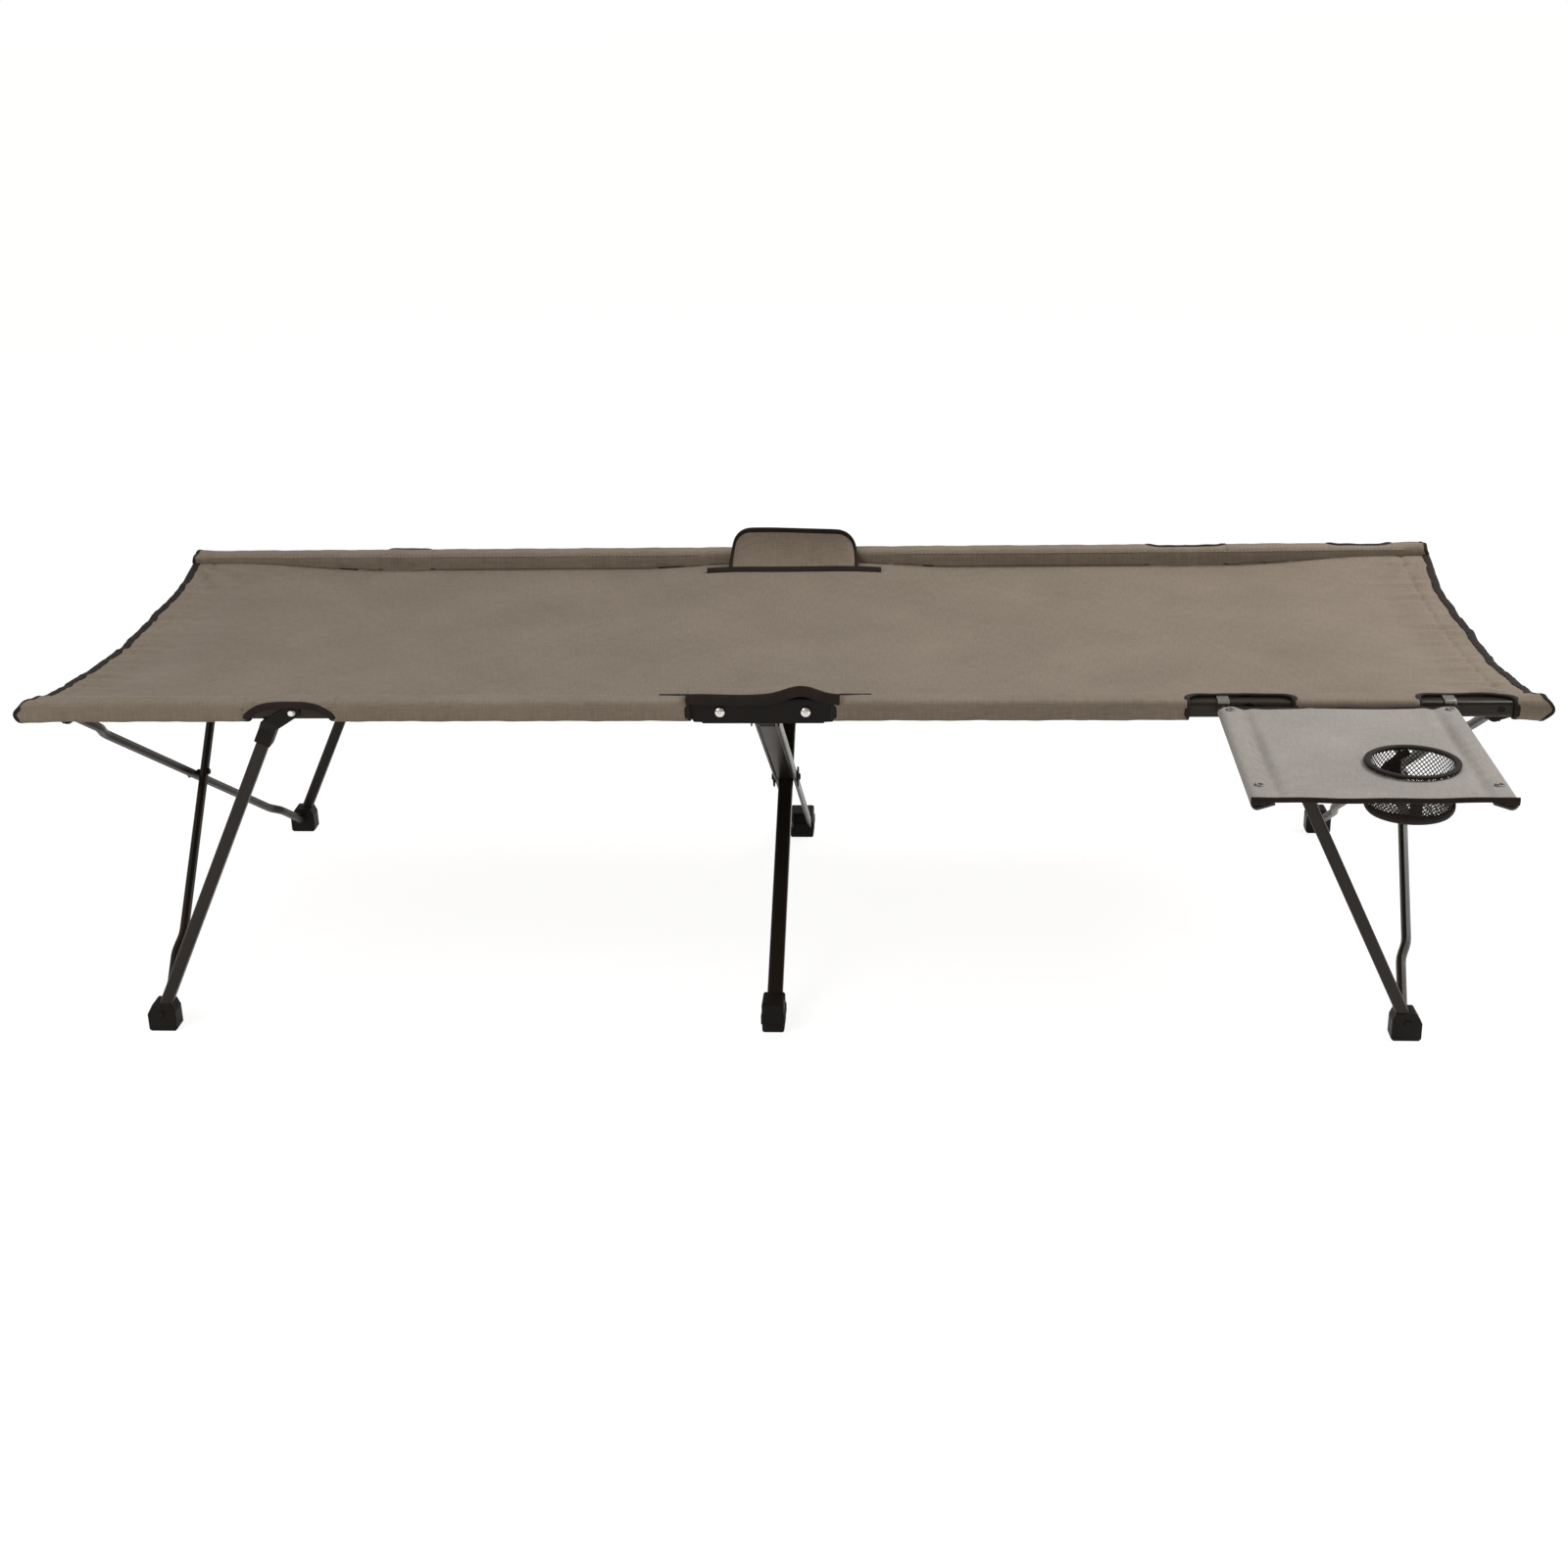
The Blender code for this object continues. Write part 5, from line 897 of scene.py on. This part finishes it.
def screw_head_grid(centre, radius, dome, side):
    """A dome (1 - 0.75 r^2.4) high, less a cross whose depth falls off from its two axes, in the plane
    y = constant and facing side."""
    steps_out = np.concatenate([np.linspace(0, 0.96, 16), [0.99, 1.0, 1.0]])
    r, go = np.meshgrid(steps_out, np.linspace(0, 2 * np.pi, 49), indexing="ij")
    u, v = r * np.cos(go), r * np.sin(go)
    turned = (u * 0.94 + v * 0.34, -u * 0.34 + v * 0.94)
    arm = np.minimum(np.abs(turned[0]), np.abs(turned[1]))
    slot_depth = 0.55 * (1 - ease(arm, 0.05, 0.16)) * (1 - ease(r, 0.40, 0.58))
    high = dome * (1 - 0.75 * r ** 2.4) * (1 - slot_depth)
    high[-1] = -0.0002
    place_grid = np.stack([centre[0] + radius * u, centre[1] + side * high, centre[2] + radius * v], -1)
    return (place_grid if side < 0 else place_grid[:, ::-1]), np.stack([u, v], -1)


for end, side in (("near", -1), ("far", 1)):
    screw_low, screw_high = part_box(f"{end}_hinge_screws")
    face = screw_low.y if side < 0 else screw_high.y
    screw_z = (screw_low.z + screw_high.z) / 2
    grids = [screw_head_grid((hinge * hinge_x, face - side * 0.0006, screw_z), 0.0058, 0.0024, side)
             for hinge in (-1, 1)]
    heads = grid_mesh(f"{end}_hinge_screw_heads", grids, bright_zinc, merge=0.000001)
    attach(heads, f"{end}_bracket")

# The studio: a pale seamless floor under a broad, even light.
# The lamps stay level, so every colour renders about as it is; the white comes from the
# floor and backdrop themselves, and the floor keeps a soft shadow.


def rays_seen(tree):
    """A share that is 1 for camera rays, also behind a clear surface, and 0 for the rest."""
    rays = add_node(tree, "ShaderNodeLightPath")
    seen = add_node(tree, "ShaderNodeMath", {"operation": "MAXIMUM"},
                    {0: rays.outputs["Is Camera Ray"], 1: rays.outputs["Is Transmission Ray"]})
    return seen.outputs["Value"]


floor_mesh = bpy.data.meshes.new("studio_floor")
floor_corners = [(30 * x, 30 * y, -0.0005) for x, y in ((-1, -1), (1, -1), (1, 1), (-1, 1))]
floor_mesh.from_pydata(floor_corners, [], [(0, 1, 2, 3)])
floor = add_object("studio_floor", floor_mesh)
paper, tree, shader = new_finish("white_studio_paper", Roughness=0.9, Specular_IOR_Level=0.1)
seen, rays = rays_seen(tree), add_node(tree, "ShaderNodeLightPath")
mirrored = add_node(tree, "ShaderNodeMath", {"operation": "MULTIPLY", 1: 0.35},
                    {0: rays.outputs["Is Glossy Ray"]})
shown = add_node(tree, "ShaderNodeMath", {"operation": "MAXIMUM"}, {0: seen, 1: mirrored.outputs["Value"]})
level = add_node(tree, "ShaderNodeMath", {"operation": "MULTIPLY", 1: 0.90}, {0: shown.outputs["Value"]})
wire_finish(tree, shader, seen, "#F6F5F3", "#888786")
shader.inputs["Emission Color"].default_value = (1, 1, 1, 1)
tree.links.new(level.outputs["Value"], shader.inputs["Emission Strength"])
floor_mesh.materials.append(paper)

world = bpy.data.worlds.new("studio_backdrop")
world.use_nodes = True
tree = world.node_tree
tree.nodes.clear()
seen = rays_seen(tree)
white = add_node(tree, "ShaderNodeBackground", {"Color": (1, 1, 1, 1), "Strength": 1.0})
fill = add_node(tree, "ShaderNodeBackground", {"Color": linear("#F6F1E9"), "Strength": 0.42})
blend_world = add_node(tree, "ShaderNodeMixShader", {}, {0: seen, 1: fill.outputs[0], 2: white.outputs[0]})
add_node(tree, "ShaderNodeOutputWorld", {}, {"Surface": blend_world.outputs[0]})
bpy.context.scene.world = world


def softbox(name, at, aim, size, power):
    """A square area lamp at one point, turned to face another."""
    lamp = bpy.data.lights.new(name, "AREA")
    lamp.size, lamp.energy = size, power
    holder = add_object(name, lamp)
    holder.location = at
    holder.rotation_euler = (Vector(aim) - Vector(at)).to_track_quat("-Z", "Y").to_euler()


softbox("key_softbox", (2.2, 0.7, 2.4), (0.6, 0.1, 0.4), 1.5, 68)
softbox("fill_softbox", (-1.9, -1.7, 2.4), (-0.2, 0.1, 0.4), 1.9, 44)

camera_data = bpy.data.cameras.new("studio_camera")
camera_data.sensor_width, camera_data.lens = 36.0, 50.47
camera_data.clip_end = 100.0
camera = add_object("studio_camera", camera_data)
yaw, pitch, roll = np.radians([4.22, 21.1, -1.50])
right = np.array([np.cos(yaw), np.sin(yaw), 0])
ahead = np.array([-np.sin(yaw) * np.cos(pitch), np.cos(yaw) * np.cos(pitch), -np.sin(pitch)])
above = np.cross(right, ahead)
turned_right = np.cos(roll) * right + np.sin(roll) * above
turned_up = -np.sin(roll) * right + np.cos(roll) * above
eye = (0.210, -2.891 + bed_middle, 1.330)
turned = np.stack([turned_right, turned_up, -ahead], 1).tolist()
camera.matrix_world = Matrix([[*row, place] for row, place in zip(turned, eye)] + [[0, 0, 0, 1]])
bpy.context.scene.camera = camera
bpy.context.scene.view_settings.view_transform = "Standard"
